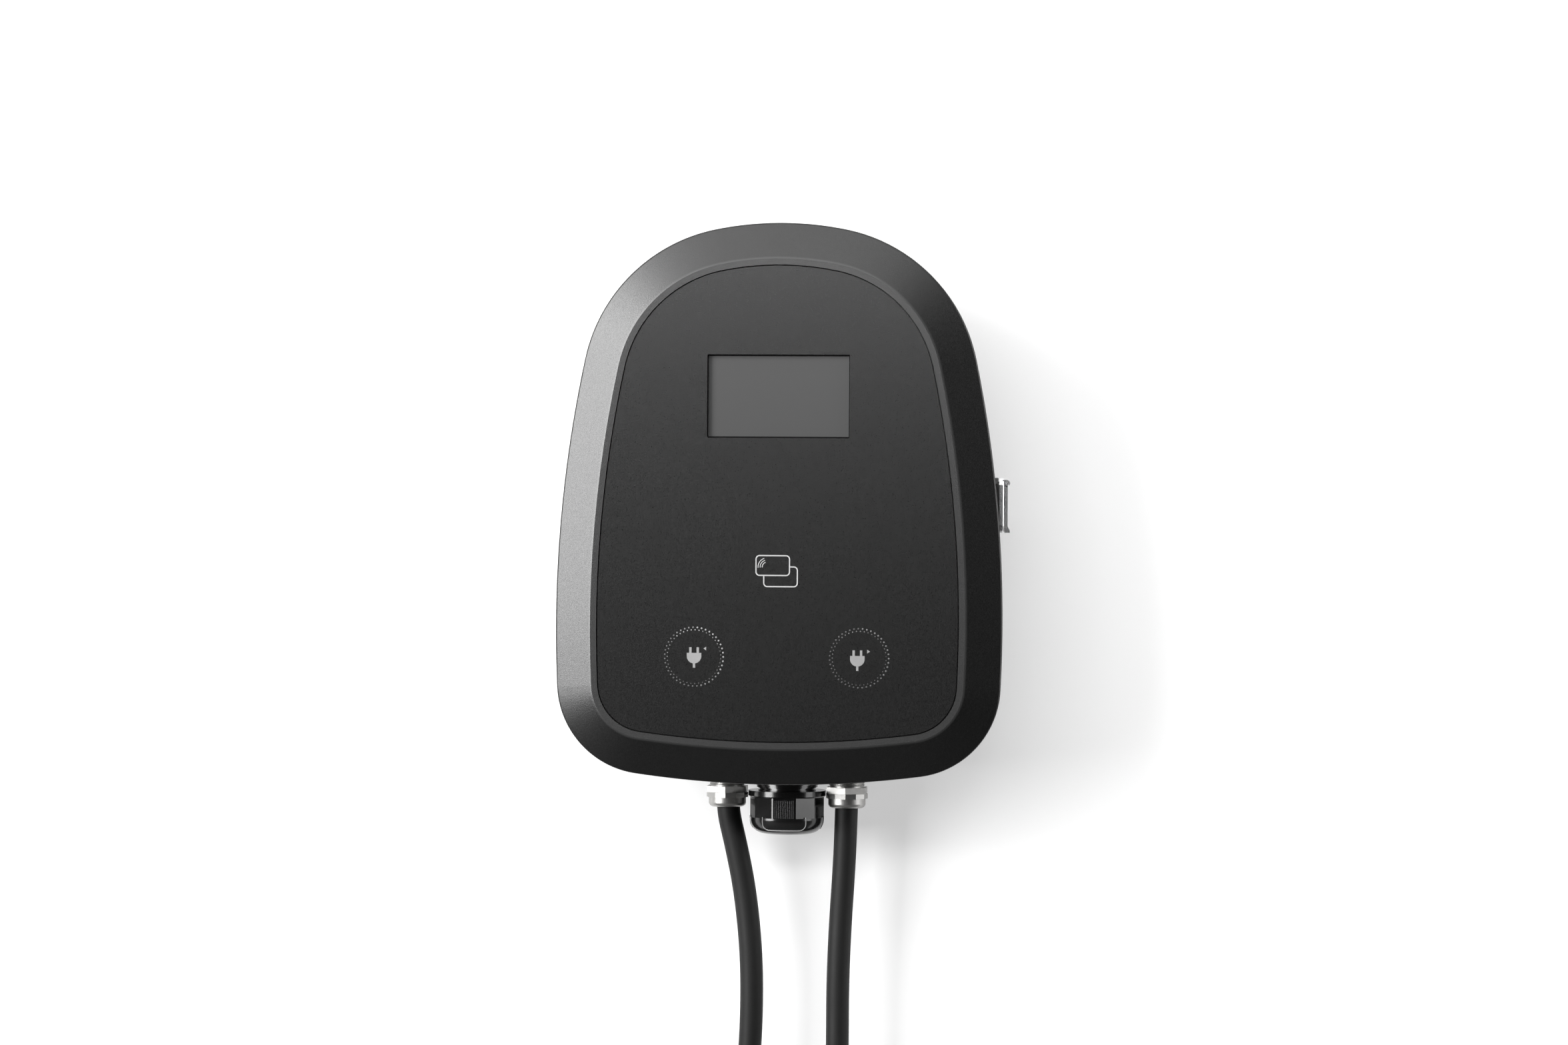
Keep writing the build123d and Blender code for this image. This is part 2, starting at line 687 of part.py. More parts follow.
with BuildPart() as sealing_frame:
    with BuildSketch(front_plane(DOOR_BACK)):
        add(casing_outline(COVER_DRAFT + 0.2))
        add(casing_outline(24), mode=Mode.SUBTRACT)
        with Locations(*frame_screw_spots):
            Circle(1.9, mode=Mode.SUBTRACT)
        # Notch that the lock's cam turns through.
        with Locations((120, 16)):
            Rectangle(10, 52, mode=Mode.SUBTRACT)
    extrude(amount=COVER_BACK - DOOR_BACK)
    # Hinge lugs that reach back to the pins.
    for middle in HINGE_HEIGHTS:
        with BuildSketch(Plane.XY.offset(middle - DOOR_KNUCKLE / 2)):
            with Locations((HINGE_X, -HINGE_DEPTH)):
                Circle(HINGE_RADIUS)
            with Locations((HINGE_X, -(HINGE_DEPTH + DOOR_BACK + 0.5) / 2)):
                Rectangle(5.6, DOOR_BACK + 0.5 - HINGE_DEPTH)
            with Locations((HINGE_X, -HINGE_DEPTH)):
                Circle(HINGE_PIN + HINGE_RUNNING, mode=Mode.SUBTRACT)
        extrude(amount=DOOR_KNUCKLE)
save(sealing_frame.part, "sealing_frame")

with BuildPart() as frame_screws:
    with BuildSketch(front_plane(DOOR_BACK)):
        with Locations(*frame_screw_spots):
            Circle(1.6)
    extrude(amount=14)
    with BuildSketch(front_plane(DOOR_BACK)):
        with Locations(*frame_screw_spots):
            Circle(3.2)
    extrude(amount=-1.2)
save(frame_screws.part, "frame_screws")

with BuildPart() as front_panel:
    with BuildSketch(front_plane(PANEL_SEAT)):
        add(casing_outline(PANEL_EDGE))
        with Locations((0, DISPLAY_HEIGHT)):
            RectangleRounded(*DISPLAY_WINDOW, 1, mode=Mode.SUBTRACT)
    extrude(amount=PANEL_THICKNESS)
save(front_panel.part, "front_panel")

with BuildPart() as display_glass:
    with BuildSketch(front_plane(GLASS_BACK)):
        with Locations((0, DISPLAY_HEIGHT)):
            Rectangle(*DISPLAY_GLASS)
    extrude(amount=PANEL_SEAT - GLASS_BACK)
save(display_glass.part, "display_glass")

with BuildPart() as display_module:
    with BuildSketch(front_plane(109.2)):
        with Locations((0, DISPLAY_HEIGHT)):
            Rectangle(98, 58)
    extrude(amount=4)
    with BuildSketch(front_plane(107.2)):
        with Locations((-18, DISPLAY_HEIGHT)):
            Rectangle(50, 30)
    extrude(amount=2)
save(display_module.part, "display_module")

CONTROL_BOARD = (150.0, 96.0)
with BuildPart() as control_board:
    with BuildSketch(front_plane(BOARD_BACK)):
        with Locations((0, DISPLAY_HEIGHT - 6)):
            Rectangle(*CONTROL_BOARD)
    extrude(amount=1.6)
    with BuildSketch(front_plane(BOARD_BACK)):
        with Locations((-30, DISPLAY_HEIGHT + 4)):
            Rectangle(22, 22)
        with Locations((22, DISPLAY_HEIGHT + 14)):
            Rectangle(34, 12)
        with Locations((30, DISPLAY_HEIGHT - 34)):
            Rectangle(60, 9)
    extrude(amount=-4)
save(control_board.part, "control_board")

with BuildPart() as board_spacers:
    with BuildSketch(front_plane(CONTROL_BOARD_FRONT)):
        with Locations((0, DISPLAY_HEIGHT - 6)):
            with GridLocations(CONTROL_BOARD[0] - 10, CONTROL_BOARD[1] - 10, 2, 2):
                RegularPolygon(3.2, 6)
    extrude(amount=COVER_FLOOR - CONTROL_BOARD_FRONT)
    with BuildSketch(front_plane(SMALL_BOARD_FRONT)):
        with Locations((0, READER_HEIGHT)):
            with GridLocations(70, 50, 2, 2):
                Circle(3)
        with Locations((0, RING_HEIGHT)):
            with GridLocations(RING_SPREAD + 56, 0, 2, 1):
                Circle(3)
            with GridLocations(RING_SPREAD - 56, 0, 2, 1):
                Circle(3)
    extrude(amount=COVER_FLOOR - SMALL_BOARD_FRONT)
save(board_spacers.part, "board_spacers")

with BuildPart() as reader_board:
    with BuildSketch(front_plane(SMALL_BOARD_BACK)):
        with Locations((0, READER_HEIGHT)):
            RectangleRounded(78, 58, 3)
    extrude(amount=1.6)
save(reader_board.part, "reader_board")

for side, x in (("left", -RING_SPREAD / 2), ("right", RING_SPREAD / 2)):
    with BuildPart() as light_guide:
        with BuildSketch(front_plane(SMALL_BOARD_FRONT)):
            with Locations((x, RING_HEIGHT)):
                Circle(RING_HOLE - 0.3)
                Circle(14, mode=Mode.SUBTRACT)
        extrude(amount=PANEL_SEAT - SMALL_BOARD_FRONT)
    save(light_guide.part, f"light_guide_{side}")

with BuildPart() as light_boards:
    for x in (-RING_SPREAD / 2, RING_SPREAD / 2):
        with BuildSketch(front_plane(SMALL_BOARD_BACK)):
            with Locations((x, RING_HEIGHT)):
                Circle(25)
                Circle(10, mode=Mode.SUBTRACT)
                with GridLocations(56, 0, 2, 1):
                    RectangleRounded(12, 8, 3)
        extrude(amount=1.6)
save(light_boards.part, "light_boards")

# --------------------------------------------------------------------- lock

with BuildPart() as lock_gasket:
    with BuildSketch(side_plane(LOCK_SEAT + LOCK_GASKET)):
        with Locations((LOCK_DEPTH, 0)):
            RectangleRounded(22, 32, 4)
            Circle(BARREL_RADIUS, mode=Mode.SUBTRACT)
    extrude(amount=LOCK_GASKET)
save(lock_gasket.part, "lock_gasket")

with BuildPart() as lock_body:
    with BuildSketch(side_plane(LOCK_FACE)):
        with Locations((LOCK_DEPTH, 0)):
            RectangleRounded(24, 37, 5)
    extrude(amount=LOCK_PLATE)
    fillet(lock_body.faces().sort_by(Axis.X)[-1].edges(), 1.0)
    with BuildSketch(side_plane(LOCK_FACE - 1)):
        with Locations((LOCK_DEPTH, 0)):
            Circle(BARREL_RADIUS)
    extrude(amount=LOCK_FACE - 1 - 126)
    # Ears for the flap's pin.
    ear_offset = FLAP_WIDTH / 2 + 0.3 + 1.1
    for ear in (LOCK_DEPTH - ear_offset, LOCK_DEPTH + ear_offset):
        with BuildSketch(front_plane(ear - 1.1)):
            with Locations(FLAP_PIVOT):
                Circle(1.9)
            with Locations((LOCK_FACE + 0.3, FLAP_PIVOT[1])):
                Rectangle(2.6, 3.8)
        extrude(amount=2.2)
        with BuildSketch(front_plane(ear - 1.1)):
            with Locations(FLAP_PIVOT):
                Circle(0.8)
        extrude(amount=2.2, mode=Mode.SUBTRACT)
    with BuildSketch(side_plane(LOCK_FACE + 1)):
        with Locations((LOCK_DEPTH, 0)):
            Circle(PLUG_RADIUS + PLUG_RUNNING)
    extrude(amount=40, mode=Mode.SUBTRACT)
save(lock_body.part, "lock_body")

with BuildPart() as lock_nut:
    with BuildSketch(side_plane(LOCK_SEAT - 5.1)):
        with Locations((LOCK_DEPTH, 0)):
            RegularPolygon(12.5, 6, major_radius=False)
            Circle(BARREL_RADIUS, mode=Mode.SUBTRACT)
    extrude(amount=4)
save(lock_nut.part, "lock_nut")

with BuildPart() as lock_cylinder:
    with BuildSketch(side_plane(LOCK_FACE - 0.4)):
        with Locations((LOCK_DEPTH, 0)):
            Circle(PLUG_RADIUS)
    extrude(amount=LOCK_FACE - 0.4 - CAM_BACK)
    with BuildSketch(side_plane(CAM_BACK)):
        with Locations((LOCK_DEPTH, 0)):
            Rectangle(6, 6)
    extrude(amount=CAM_THICKNESS)
    # Keyway.
    with BuildSketch(side_plane(LOCK_FACE - 0.4)):
        with Locations((LOCK_DEPTH, 0)):
            Rectangle(1.6, 8)
    extrude(amount=18, mode=Mode.SUBTRACT)
save(lock_cylinder.part, "lock_cylinder")

HOOK_INNER, HOOK_OUTER = 31.2, 36.0
HOOK_LEAD, HOOK_TRAIL = -14.0, 32.0
WEB_START = 14.0


def sector_point(radius, angle):
    """A point of the cam about the lock's axis; angle 0 is up, positive is outward."""
    return (
        LOCK_DEPTH + radius * sin(radians(angle)),
        radius * cos(radians(angle)),
    )


with BuildPart() as lock_cam:
    with BuildSketch(side_plane(CAM_BACK)):
        with Locations((LOCK_DEPTH, 0)):
            Circle(9)
        # The web and hook turn with the plug from upright towards the wall.
        with BuildLine():
            Line(sector_point(5, WEB_START), sector_point(HOOK_INNER, WEB_START))
            ThreePointArc(
                sector_point(HOOK_INNER, WEB_START),
                sector_point(HOOK_INNER, 0),
                sector_point(HOOK_INNER, HOOK_LEAD),
            )
            Line(sector_point(HOOK_INNER, HOOK_LEAD), sector_point(HOOK_OUTER, HOOK_LEAD))
            ThreePointArc(
                sector_point(HOOK_OUTER, HOOK_LEAD),
                sector_point(HOOK_OUTER, 10),
                sector_point(HOOK_OUTER, HOOK_TRAIL),
            )
            Line(sector_point(HOOK_OUTER, HOOK_TRAIL), sector_point(5, HOOK_TRAIL))
            Line(sector_point(5, HOOK_TRAIL), sector_point(5, WEB_START))
        make_face()
        with Locations((LOCK_DEPTH, 0)):
            Rectangle(6, 6, mode=Mode.SUBTRACT)
    extrude(amount=CAM_THICKNESS)
save(lock_cam.part, "lock_cam")

with BuildPart() as cam_screw:
    with BuildSketch(side_plane(CAM_X)):
        with Locations((LOCK_DEPTH, 0)):
            Circle(4.6)
    extrude(amount=2.2)
save(cam_screw.part, "cam_screw")

with BuildPart() as lock_flap:
    with BuildSketch(front_plane(LOCK_DEPTH - FLAP_WIDTH / 2)):
        with Locations(FLAP_PIVOT):
            Circle(1.3)
        with BuildLine():
            Polyline(
                (LOCK_FACE + 0.4, FLAP_PIVOT[1]),
                (LOCK_FACE + 0.4, -18.5),
                (LOCK_FACE + 4.0, -18.5),
                (LOCK_FACE + 4.0, -17.0),
                (LOCK_FACE + 2.5, -14.0),
                (LOCK_FACE + 2.5, FLAP_PIVOT[1]),
                (LOCK_FACE + 0.4, FLAP_PIVOT[1]),
            )
        make_face()
        with Locations(FLAP_PIVOT):
            Circle(0.87, mode=Mode.SUBTRACT)
    extrude(amount=FLAP_WIDTH)
save(lock_flap.part, "lock_flap")

with BuildPart() as flap_pin:
    with BuildSketch(front_plane(LOCK_DEPTH - 10.9)):
        with Locations(FLAP_PIVOT):
            Circle(0.8)
    extrude(amount=21.8)
save(flap_pin.part, "flap_pin")

# ------------------------------------------------------------------- cables


def corner_radii(points):
    """The largest fair radius at each corner of a cable's route."""
    radii = []
    for before, corner, after in zip(points, points[1:], points[2:]):
        run_in, run_out = Vector(*corner) - Vector(*before), Vector(*after) - Vector(*corner)
        half_turn = radians(run_in.get_angle(run_out)) / 2
        radii.append(0.45 * min(run_in.length, run_out.length) / tan(half_turn))
    return radii


def cable_tube(route):
    """A round cable along the route, in the plane of the glands."""
    points = [(x, -GLAND_DEPTH, z) for x, z in route]
    radii = corner_radii(points)
    print("cable corner radii", [round(radius) for radius in radii])
    with BuildPart() as tube:
        with BuildLine() as path:
            FilletPolyline(*points, radius=radii)
        with BuildSketch(Plane(origin=path.line @ 0, z_dir=path.line % 0)):
            Circle(CABLE / 2)
        sweep(path=path.line)
    length = path.wires()[0].length
    share = tube.part.volume / (length * pi * CABLE**2 / 4)
    print("cable length", round(length), "volume share", round(share, 4))
    return tube.part


coil_in, coil_out = COIL_RADII[0] - CABLE / 2, COIL_RADII[-1] + CABLE / 2
for side, route, tail_side in (("left", LEFT_ROUTE, 1), ("right", RIGHT_ROUTE, -1)):
    centre = COIL_X[side]
    tail_x = centre + tail_side * COIL_RADII[1]
    with BuildPart() as cable:
        add(cable_tube(route))
        with BuildSketch(bottom_plane(TAIL_TOP)):
            with Locations((tail_x, TAIL_DEPTH)):
                Circle(CABLE / 2)
        extrude(amount=TAIL_TOP - GRIP_TOP)
    save(cable.part, f"cable_{side}")

    with BuildPart() as coil:
        with BuildSketch(front_plane(GLAND_DEPTH - 1.5 * CABLE)):
            with Locations((centre, COIL_HEIGHT)):
                Circle(coil_out)
                Circle(coil_in, mode=Mode.SUBTRACT)
        extrude(amount=2 * CABLE)
        with BuildSketch(front_plane(GLAND_DEPTH + CABLE / 2)):
            with Locations((centre, COIL_HEIGHT)):
                Circle(coil_out - CABLE)
                Circle(coil_in, mode=Mode.SUBTRACT)
        extrude(amount=CABLE)
    save(coil.part, f"coil_{side}")

    with BuildPart() as connector_boot:
        with BuildSketch(bottom_plane(BOOT_TOP)):
            with Locations((tail_x, TAIL_DEPTH)):
                Circle(10)
        with BuildSketch(bottom_plane(GRIP_TOP)):
            with Locations((tail_x, TAIL_DEPTH)):
                Circle(15.5)
        loft()
        with BuildSketch(bottom_plane(BOOT_TOP)):
            with Locations((tail_x, TAIL_DEPTH)):
                Circle(CABLE / 2)
        extrude(amount=BOOT_TOP - GRIP_TOP, mode=Mode.SUBTRACT)
    save(connector_boot.part, f"connector_boot_{side}")

    with BuildPart() as connector_grip:
        with BuildSketch(Plane((tail_x, -TAIL_DEPTH, 0), x_dir=(1, 0, 0), z_dir=(0, -1, 0))):
            with BuildLine():
                outer = Spline(
                    (16.5, GRIP_TOP), (20.5, -660), (22.5, -690), (21.0, -722), (24.0, COLLAR_TOP),
                )
                Polyline(outer @ 1, (31, COLLAR_TOP - 4), (31, NOSE_TOP), (26.5, NOSE_TOP))
                Polyline((26.5, NOSE_TOP), (26.5, COLLAR_TOP - 8), (17.5, -735), (17.5, -650))
                Polyline((17.5, -650), (12, -642), (0, -642), (0, GRIP_TOP), (16.5, GRIP_TOP))
            make_face()
        revolve(axis=Axis((tail_x, -TAIL_DEPTH, 0), (0, 0, 1)))
    save(connector_grip.part, f"connector_grip_{side}")

    with BuildPart() as connector_nose:
        with BuildSketch(bottom_plane(NOSE_TOP + 7)):
            with Locations((tail_x, TAIL_DEPTH)):
                Circle(26.4)
        extrude(amount=7)
        with BuildSketch(bottom_plane(NOSE_TOP)):
            with Locations((tail_x, TAIL_DEPTH)):
                Circle(NOSE_RADIUS)
                with Locations((0, NOSE_RADIUS)):
                    Rectangle(60, 12, mode=Mode.SUBTRACT)
        extrude(amount=NOSE_TOP - NOSE_END)
        with BuildSketch(bottom_plane(NOSE_END)):
            with Locations((tail_x, TAIL_DEPTH)):
                Circle(NOSE_RADIUS - 2.6)
                with Locations((0, NOSE_RADIUS - 2.6)):
                    Rectangle(60, 12, mode=Mode.SUBTRACT)
                Circle(22, mode=Mode.SUBTRACT)
        extrude(amount=-28, mode=Mode.SUBTRACT)
        # Seven contact holes: one in the middle, four beside and below, two above.
        with BuildSketch(bottom_plane(NOSE_END)):
            with Locations((tail_x, TAIL_DEPTH)):
                Circle(2.7)
                with Locations((-13.5, 0), (13.5, 0), (-7, -11.8), (7, -11.8)):
                    Circle(2.7)
                with Locations((-6.5, 10.5), (6.5, 10.5)):
                    Circle(2.3)
        extrude(amount=-24, mode=Mode.SUBTRACT)
    save(connector_nose.part, f"connector_nose_{side}")

STRAP = 1.6
strap_low, strap_high = coil_in - 0.8, coil_out + 0.2
strap_middle = (strap_low + strap_high) / 2
with BuildPart() as coil_straps:
    for centre in COIL_X.values():
        for direction in (1, -1):
            with BuildSketch(Plane.YZ.offset(centre - 10)):
                with Locations((-GLAND_DEPTH, COIL_HEIGHT + direction * strap_middle)):
                    RectangleRounded(3 * CABLE + 2 * STRAP + 0.4, strap_high - strap_low + 2 * STRAP, 3)
                    Rectangle(3 * CABLE + 0.4, strap_high - strap_low, mode=Mode.SUBTRACT)
            extrude(amount=20)
save(coil_straps.part, "coil_straps")
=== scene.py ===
"""Looks of a wall-mounted charging station with two tethered charging cables."""

import logging
import math
from dataclasses import dataclass, field
from enum import Enum
from typing import Any, Iterator, Sequence

import bmesh
import bpy
from mathutils import Matrix, Vector


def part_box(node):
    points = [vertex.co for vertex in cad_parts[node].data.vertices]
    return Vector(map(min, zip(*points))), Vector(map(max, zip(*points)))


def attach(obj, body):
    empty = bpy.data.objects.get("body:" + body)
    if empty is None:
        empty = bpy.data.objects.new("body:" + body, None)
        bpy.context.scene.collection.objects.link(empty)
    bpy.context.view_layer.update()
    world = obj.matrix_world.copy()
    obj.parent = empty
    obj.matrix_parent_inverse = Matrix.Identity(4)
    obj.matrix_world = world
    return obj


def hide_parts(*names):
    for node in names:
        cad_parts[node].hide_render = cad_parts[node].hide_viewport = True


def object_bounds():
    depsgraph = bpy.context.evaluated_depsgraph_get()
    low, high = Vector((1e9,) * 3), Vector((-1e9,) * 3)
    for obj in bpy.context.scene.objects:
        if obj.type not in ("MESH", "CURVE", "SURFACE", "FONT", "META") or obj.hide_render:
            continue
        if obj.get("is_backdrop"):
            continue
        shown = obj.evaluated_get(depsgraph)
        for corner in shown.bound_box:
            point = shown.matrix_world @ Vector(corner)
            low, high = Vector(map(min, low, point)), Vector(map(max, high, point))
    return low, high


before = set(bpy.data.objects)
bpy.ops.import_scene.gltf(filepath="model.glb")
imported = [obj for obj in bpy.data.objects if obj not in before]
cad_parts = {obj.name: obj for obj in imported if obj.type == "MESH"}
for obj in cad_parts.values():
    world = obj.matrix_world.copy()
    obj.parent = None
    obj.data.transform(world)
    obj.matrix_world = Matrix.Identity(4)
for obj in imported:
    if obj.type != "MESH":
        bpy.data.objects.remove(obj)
CAD_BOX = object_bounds()

log = logging.getLogger("charging_station")

MM = 0.001
Point = tuple[float, float, float]
Flat = tuple[float, float]

SIDES = ("left", "right")


def millimetres(x: float, y: float, z: float) -> Vector:
    """A point given in millimetres, as a vector in metres."""
    return Vector((x, y, z)) * MM


# --------------------------------------------------------------------- shader maths


class Signal:
    """A number that varies over a surface, held as a node socket."""

    def __init__(self, tree: "Shader", socket: bpy.types.NodeSocket) -> None:
        """Wraps a socket.

        Args:
            tree: the shader that the socket is in.
            socket: the output socket to use.
        """
        self.tree = tree
        self.socket = socket

    def maths(self, operation: str, *others: "Signal | float", clamp: bool = False) -> "Signal":
        """Adds a Math node.

        Args:
            operation: the Math node's operation.
            others: the values after this one.
            clamp: whether the result is kept between 0 and 1.

        Returns:
            The result.
        """
        return self.tree.maths(operation, self, *others, clamp=clamp)

    def __add__(self, other: "Signal | float") -> "Signal":
        """Sum."""
        return self.maths("ADD", other)

    def __radd__(self, other: float) -> "Signal":
        """Sum with a number on the left."""
        return self.tree.maths("ADD", other, self)

    def __sub__(self, other: "Signal | float") -> "Signal":
        """Difference."""
        return self.maths("SUBTRACT", other)

    def __rsub__(self, other: float) -> "Signal":
        """Difference from a number on the left."""
        return self.tree.maths("SUBTRACT", other, self)

    def __mul__(self, other: "Signal | float") -> "Signal":
        """Product."""
        return self.maths("MULTIPLY", other)

    def __rmul__(self, other: float) -> "Signal":
        """Product with a number on the left."""
        return self.tree.maths("MULTIPLY", other, self)

    def __truediv__(self, other: "Signal | float") -> "Signal":
        """Quotient."""
        return self.maths("DIVIDE", other)

    def __rtruediv__(self, other: float) -> "Signal":
        """Quotient with a number on top."""
        return self.tree.maths("DIVIDE", other, self)

    def __pow__(self, power: float) -> "Signal":
        """Power."""
        return self.maths("POWER", power)

    def __abs__(self) -> "Signal":
        """Size without sign."""
        return self.maths("ABSOLUTE")

    def __lt__(self, other: "Signal | float") -> "Signal":
        """1 where this is less than the other."""
        return self.maths("LESS_THAN", other)

    def __gt__(self, other: "Signal | float") -> "Signal":
        """1 where this is more than the other."""
        return self.maths("GREATER_THAN", other)

    def between(self, low: float, high: float) -> "Signal":
        """0 below low, 1 above high and a straight ramp between them."""
        return self.tree.maths("MULTIPLY", self - low, 1.0 / (high - low), clamp=True)

    def wave(self, period: float) -> "Signal":
        """A sine of this number, from 0 to 1, with the given period."""
        return (self * (2 * math.pi / period)).maths("SINE") * 0.5 + 0.5


class Shader:
    """A material's nodes, built from plain calls."""

    def __init__(self, name: str) -> None:
        """Starts an empty material.

        Args:
            name: the material's name.
        """
        self.material = bpy.data.materials.new(name)
        self.material.use_nodes = True
        self.nodes = self.material.node_tree.nodes
        self.links = self.material.node_tree.links
        self.nodes.clear()
        self._place: bpy.types.Node | None = None

    def node(
        self,
        kind: str,
        settings: dict[str, Any] | None = None,
        inputs: dict[str | int, Any] | None = None,
    ) -> bpy.types.Node:
        """Adds a node of any kind.

        Args:
            kind: the node's type name.
            settings: the node's own settings, set before its sockets.
            inputs: values, Signals or sockets for its input sockets.

        Returns:
            The node.
        """
        made = self.nodes.new(kind)
        for key, value in (settings or {}).items():
            setattr(made, key, value)
        for key, value in (inputs or {}).items():
            socket = made.inputs[key]
            if isinstance(value, Signal):
                self.links.new(value.socket, socket)
            elif isinstance(value, bpy.types.NodeSocket):
                self.links.new(value, socket)
            else:
                socket.default_value = value
        return made

    def maths(self, operation: str, *values: "Signal | float", clamp: bool = False) -> Signal:
        """Adds a Math node on one to three values.

        Args:
            operation: the node's operation.
            values: the values that it works on.
            clamp: whether the result is kept between 0 and 1.

        Returns:
            The result.
        """
        made = self.node(
            "ShaderNodeMath",
            {"operation": operation, "use_clamp": clamp},
            dict(enumerate(values)),
        )
        return Signal(self, made.outputs[0])

    @property
    def place(self) -> bpy.types.NodeSocket:
        """The point on the surface, in the object's own metres.

        Returns:
            The socket that holds the point.
        """
        if self._place is None:
            self._place = self.node("ShaderNodeTexCoord")
        return self._place.outputs["Object"]

    def axes(self) -> tuple[Signal, Signal, Signal]:
        """The point's x, y and z."""
        split = self.node("ShaderNodeSeparateXYZ", inputs={0: self.place})
        return tuple(Signal(self, split.outputs[i]) for i in range(3))

    def scaled(self, scale: Point) -> bpy.types.NodeSocket:
        """The point with each axis scaled.

        Args:
            scale: factors for x, y and z.

        Returns:
            The socket that holds the scaled point.
        """
        made = self.node(
            "ShaderNodeVectorMath", {"operation": "MULTIPLY"}, {0: self.place, 1: scale}
        )
        return made.outputs[0]

    def noise(self, size: float, detail: float = 2.0, stretch: Point = (1, 1, 1)) -> Signal:
        """Smooth noise with features of about the given size, in metres.

        Args:
            size: size of the features, in metres.
            detail: how many finer layers are added.
            stretch: factors that stretch the noise along x, y and z.

        Returns:
            The noise, from 0 to 1.
        """
        made = self.node(
            "ShaderNodeTexNoise",
            inputs={
                "Vector": self.scaled(stretch),
                "Scale": 1.0 / size,
                "Detail": detail,
                "Roughness": 0.55,
            },
        )
        return Signal(self, made.outputs[0])

    def cells(self, size: float) -> Signal:
        """Distance to scattered points about the given size apart.

        Args:
            size: distance between the points, in metres.

        Returns:
            The distance, about 0 to 1.
        """
        made = self.node(
            "ShaderNodeTexVoronoi",
            inputs={"Vector": self.place, "Scale": 1.0 / size},
        )
        return Signal(self, made.outputs["Distance"])

    def mix(self, factor: Signal, first: Sequence[float], second: Sequence[float]) -> Any:
        """A colour between two, by a factor from 0 to 1.

        Args:
            factor: 0 for the first colour and 1 for the second.
            first: the first colour.
            second: the second colour.

        Returns:
            The colour's socket.
        """
        made = self.node("ShaderNodeMix", {"data_type": "RGBA"}, {"Factor": factor})
        for index, colour in ((6, first), (7, second)):
            made.inputs[index].default_value = (*colour[:3], 1.0)
        return made.outputs[2]

    def bump(self, height: Signal, depth: float, strength: float = 1.0) -> Any:
        """A normal from a height from 0 to 1 that stands for the given depth.

        Args:
            height: the height, from 0 to 1.
            depth: the depth that it stands for, in metres.
            strength: how strongly it shows.

        Returns:
            The normal's socket.
        """
        made = self.node(
            "ShaderNodeBump",
            inputs={"Height": height, "Distance": depth, "Strength": strength},
        )
        return made.outputs[0]

    def finish(self, **sockets: Any) -> bpy.types.Material:
        """Adds the surface shader and the output.

        Args:
            sockets: values for the shader, with underscores for spaces in the names.

        Returns:
            The material.
        """
        surface = self.node(
            "ShaderNodeBsdfPrincipled",
            inputs={key.replace("_", " "): value for key, value in sockets.items()},
        )
        self.node("ShaderNodeOutputMaterial", inputs={"Surface": surface.outputs[0]})
        return self.material


# --------------------------------------------------------------------------- finishes


@dataclass(frozen=True)
class Finish:
    """A finish of one colour with grain, slight mottling and uneven gloss.

    Attributes:
        name: the material's name.
        colour: the base colour, linear.
        roughness: the middle roughness.
        metallic: 1 for bare metal.
        coat: clear coat weight.
        grain: size of the surface grain, in metres.
        depth: depth of the grain, in metres.
        strength: how strongly the grain shows.
        mottle: share by which the colour varies.
        gloss_spread: how much the roughness varies.
        shine: how strongly it reflects, 0.5 for common plastics and paints.
    """

    name: str
    colour: Point
    roughness: float
    metallic: float = 0.0
    coat: float = 0.0
    grain: float = 0.0006
    depth: float = 0.00003
    strength: float = 0.5
    mottle: float = 0.12
    gloss_spread: float = 0.06
    shine: float = 0.5

    def height(self, shader: Shader) -> Signal:
        """The grain's height, from 0 to 1."""
        return shader.noise(self.grain, 3.0)

    def tint(self, shader: Shader) -> Any:
        """The base colour over the surface.

        Args:
            shader: the shader to build in.

        Returns:
            The colour's socket.
        """
        cloud = shader.noise(0.03, 4.0)
        darker = tuple(value * (1 - self.mottle) for value in self.colour)
        lighter = tuple(min(1.0, value * (1 + self.mottle)) for value in self.colour)
        return shader.mix(cloud, darker, lighter)

    def gloss(self, shader: Shader) -> Signal:
        """Unevenness of the gloss, from 0 to 1."""
        return shader.noise(self.grain * 9, 2.0)

    def build(self) -> bpy.types.Material:
        """Makes the material.

        Returns:
            The Blender material.
        """
        shader = Shader(self.name)
        gloss = self.gloss(shader) * (2 * self.gloss_spread)
        return shader.finish(
            Base_Color=self.tint(shader),
            Metallic=self.metallic,
            Roughness=gloss + (self.roughness - self.gloss_spread),
            Specular_IOR_Level=self.shine,
            Coat_Weight=self.coat,
            Coat_Roughness=0.08,
            Normal=shader.bump(self.height(shader), self.depth, self.strength),
        )


@dataclass(frozen=True)
class PowderCoat(Finish):
    """Powder-coated metal: a fine leathery texture with light specks."""

    def height(self, shader: Shader) -> Signal:
        """Rounded grains with finer noise on them."""
        return (1 - shader.cells(self.grain)) * 0.2 + shader.noise(self.grain * 0.8, 2.0) * 0.8

    def gloss(self, shader: Shader) -> Signal:
        """Gloss that differs from grain to grain."""
        return shader.noise(self.grain * 0.7, 1.0)

    def tint(self, shader: Shader) -> Any:
        """Dark paint whose grains catch a little more light.

        Args:
            shader: the shader to build in.

        Returns:
            The colour's socket.
        """
        speck = shader.noise(self.grain * 0.8, 1.0).between(0.35, 0.75)
        cloud = shader.noise(0.05, 3.0) * 0.3
        dark = tuple(value * (1 - self.mottle) for value in self.colour)
        light = tuple(value * (1 + self.mottle) for value in self.colour)
        return shader.mix(speck * 0.7 + cloud, dark, light)


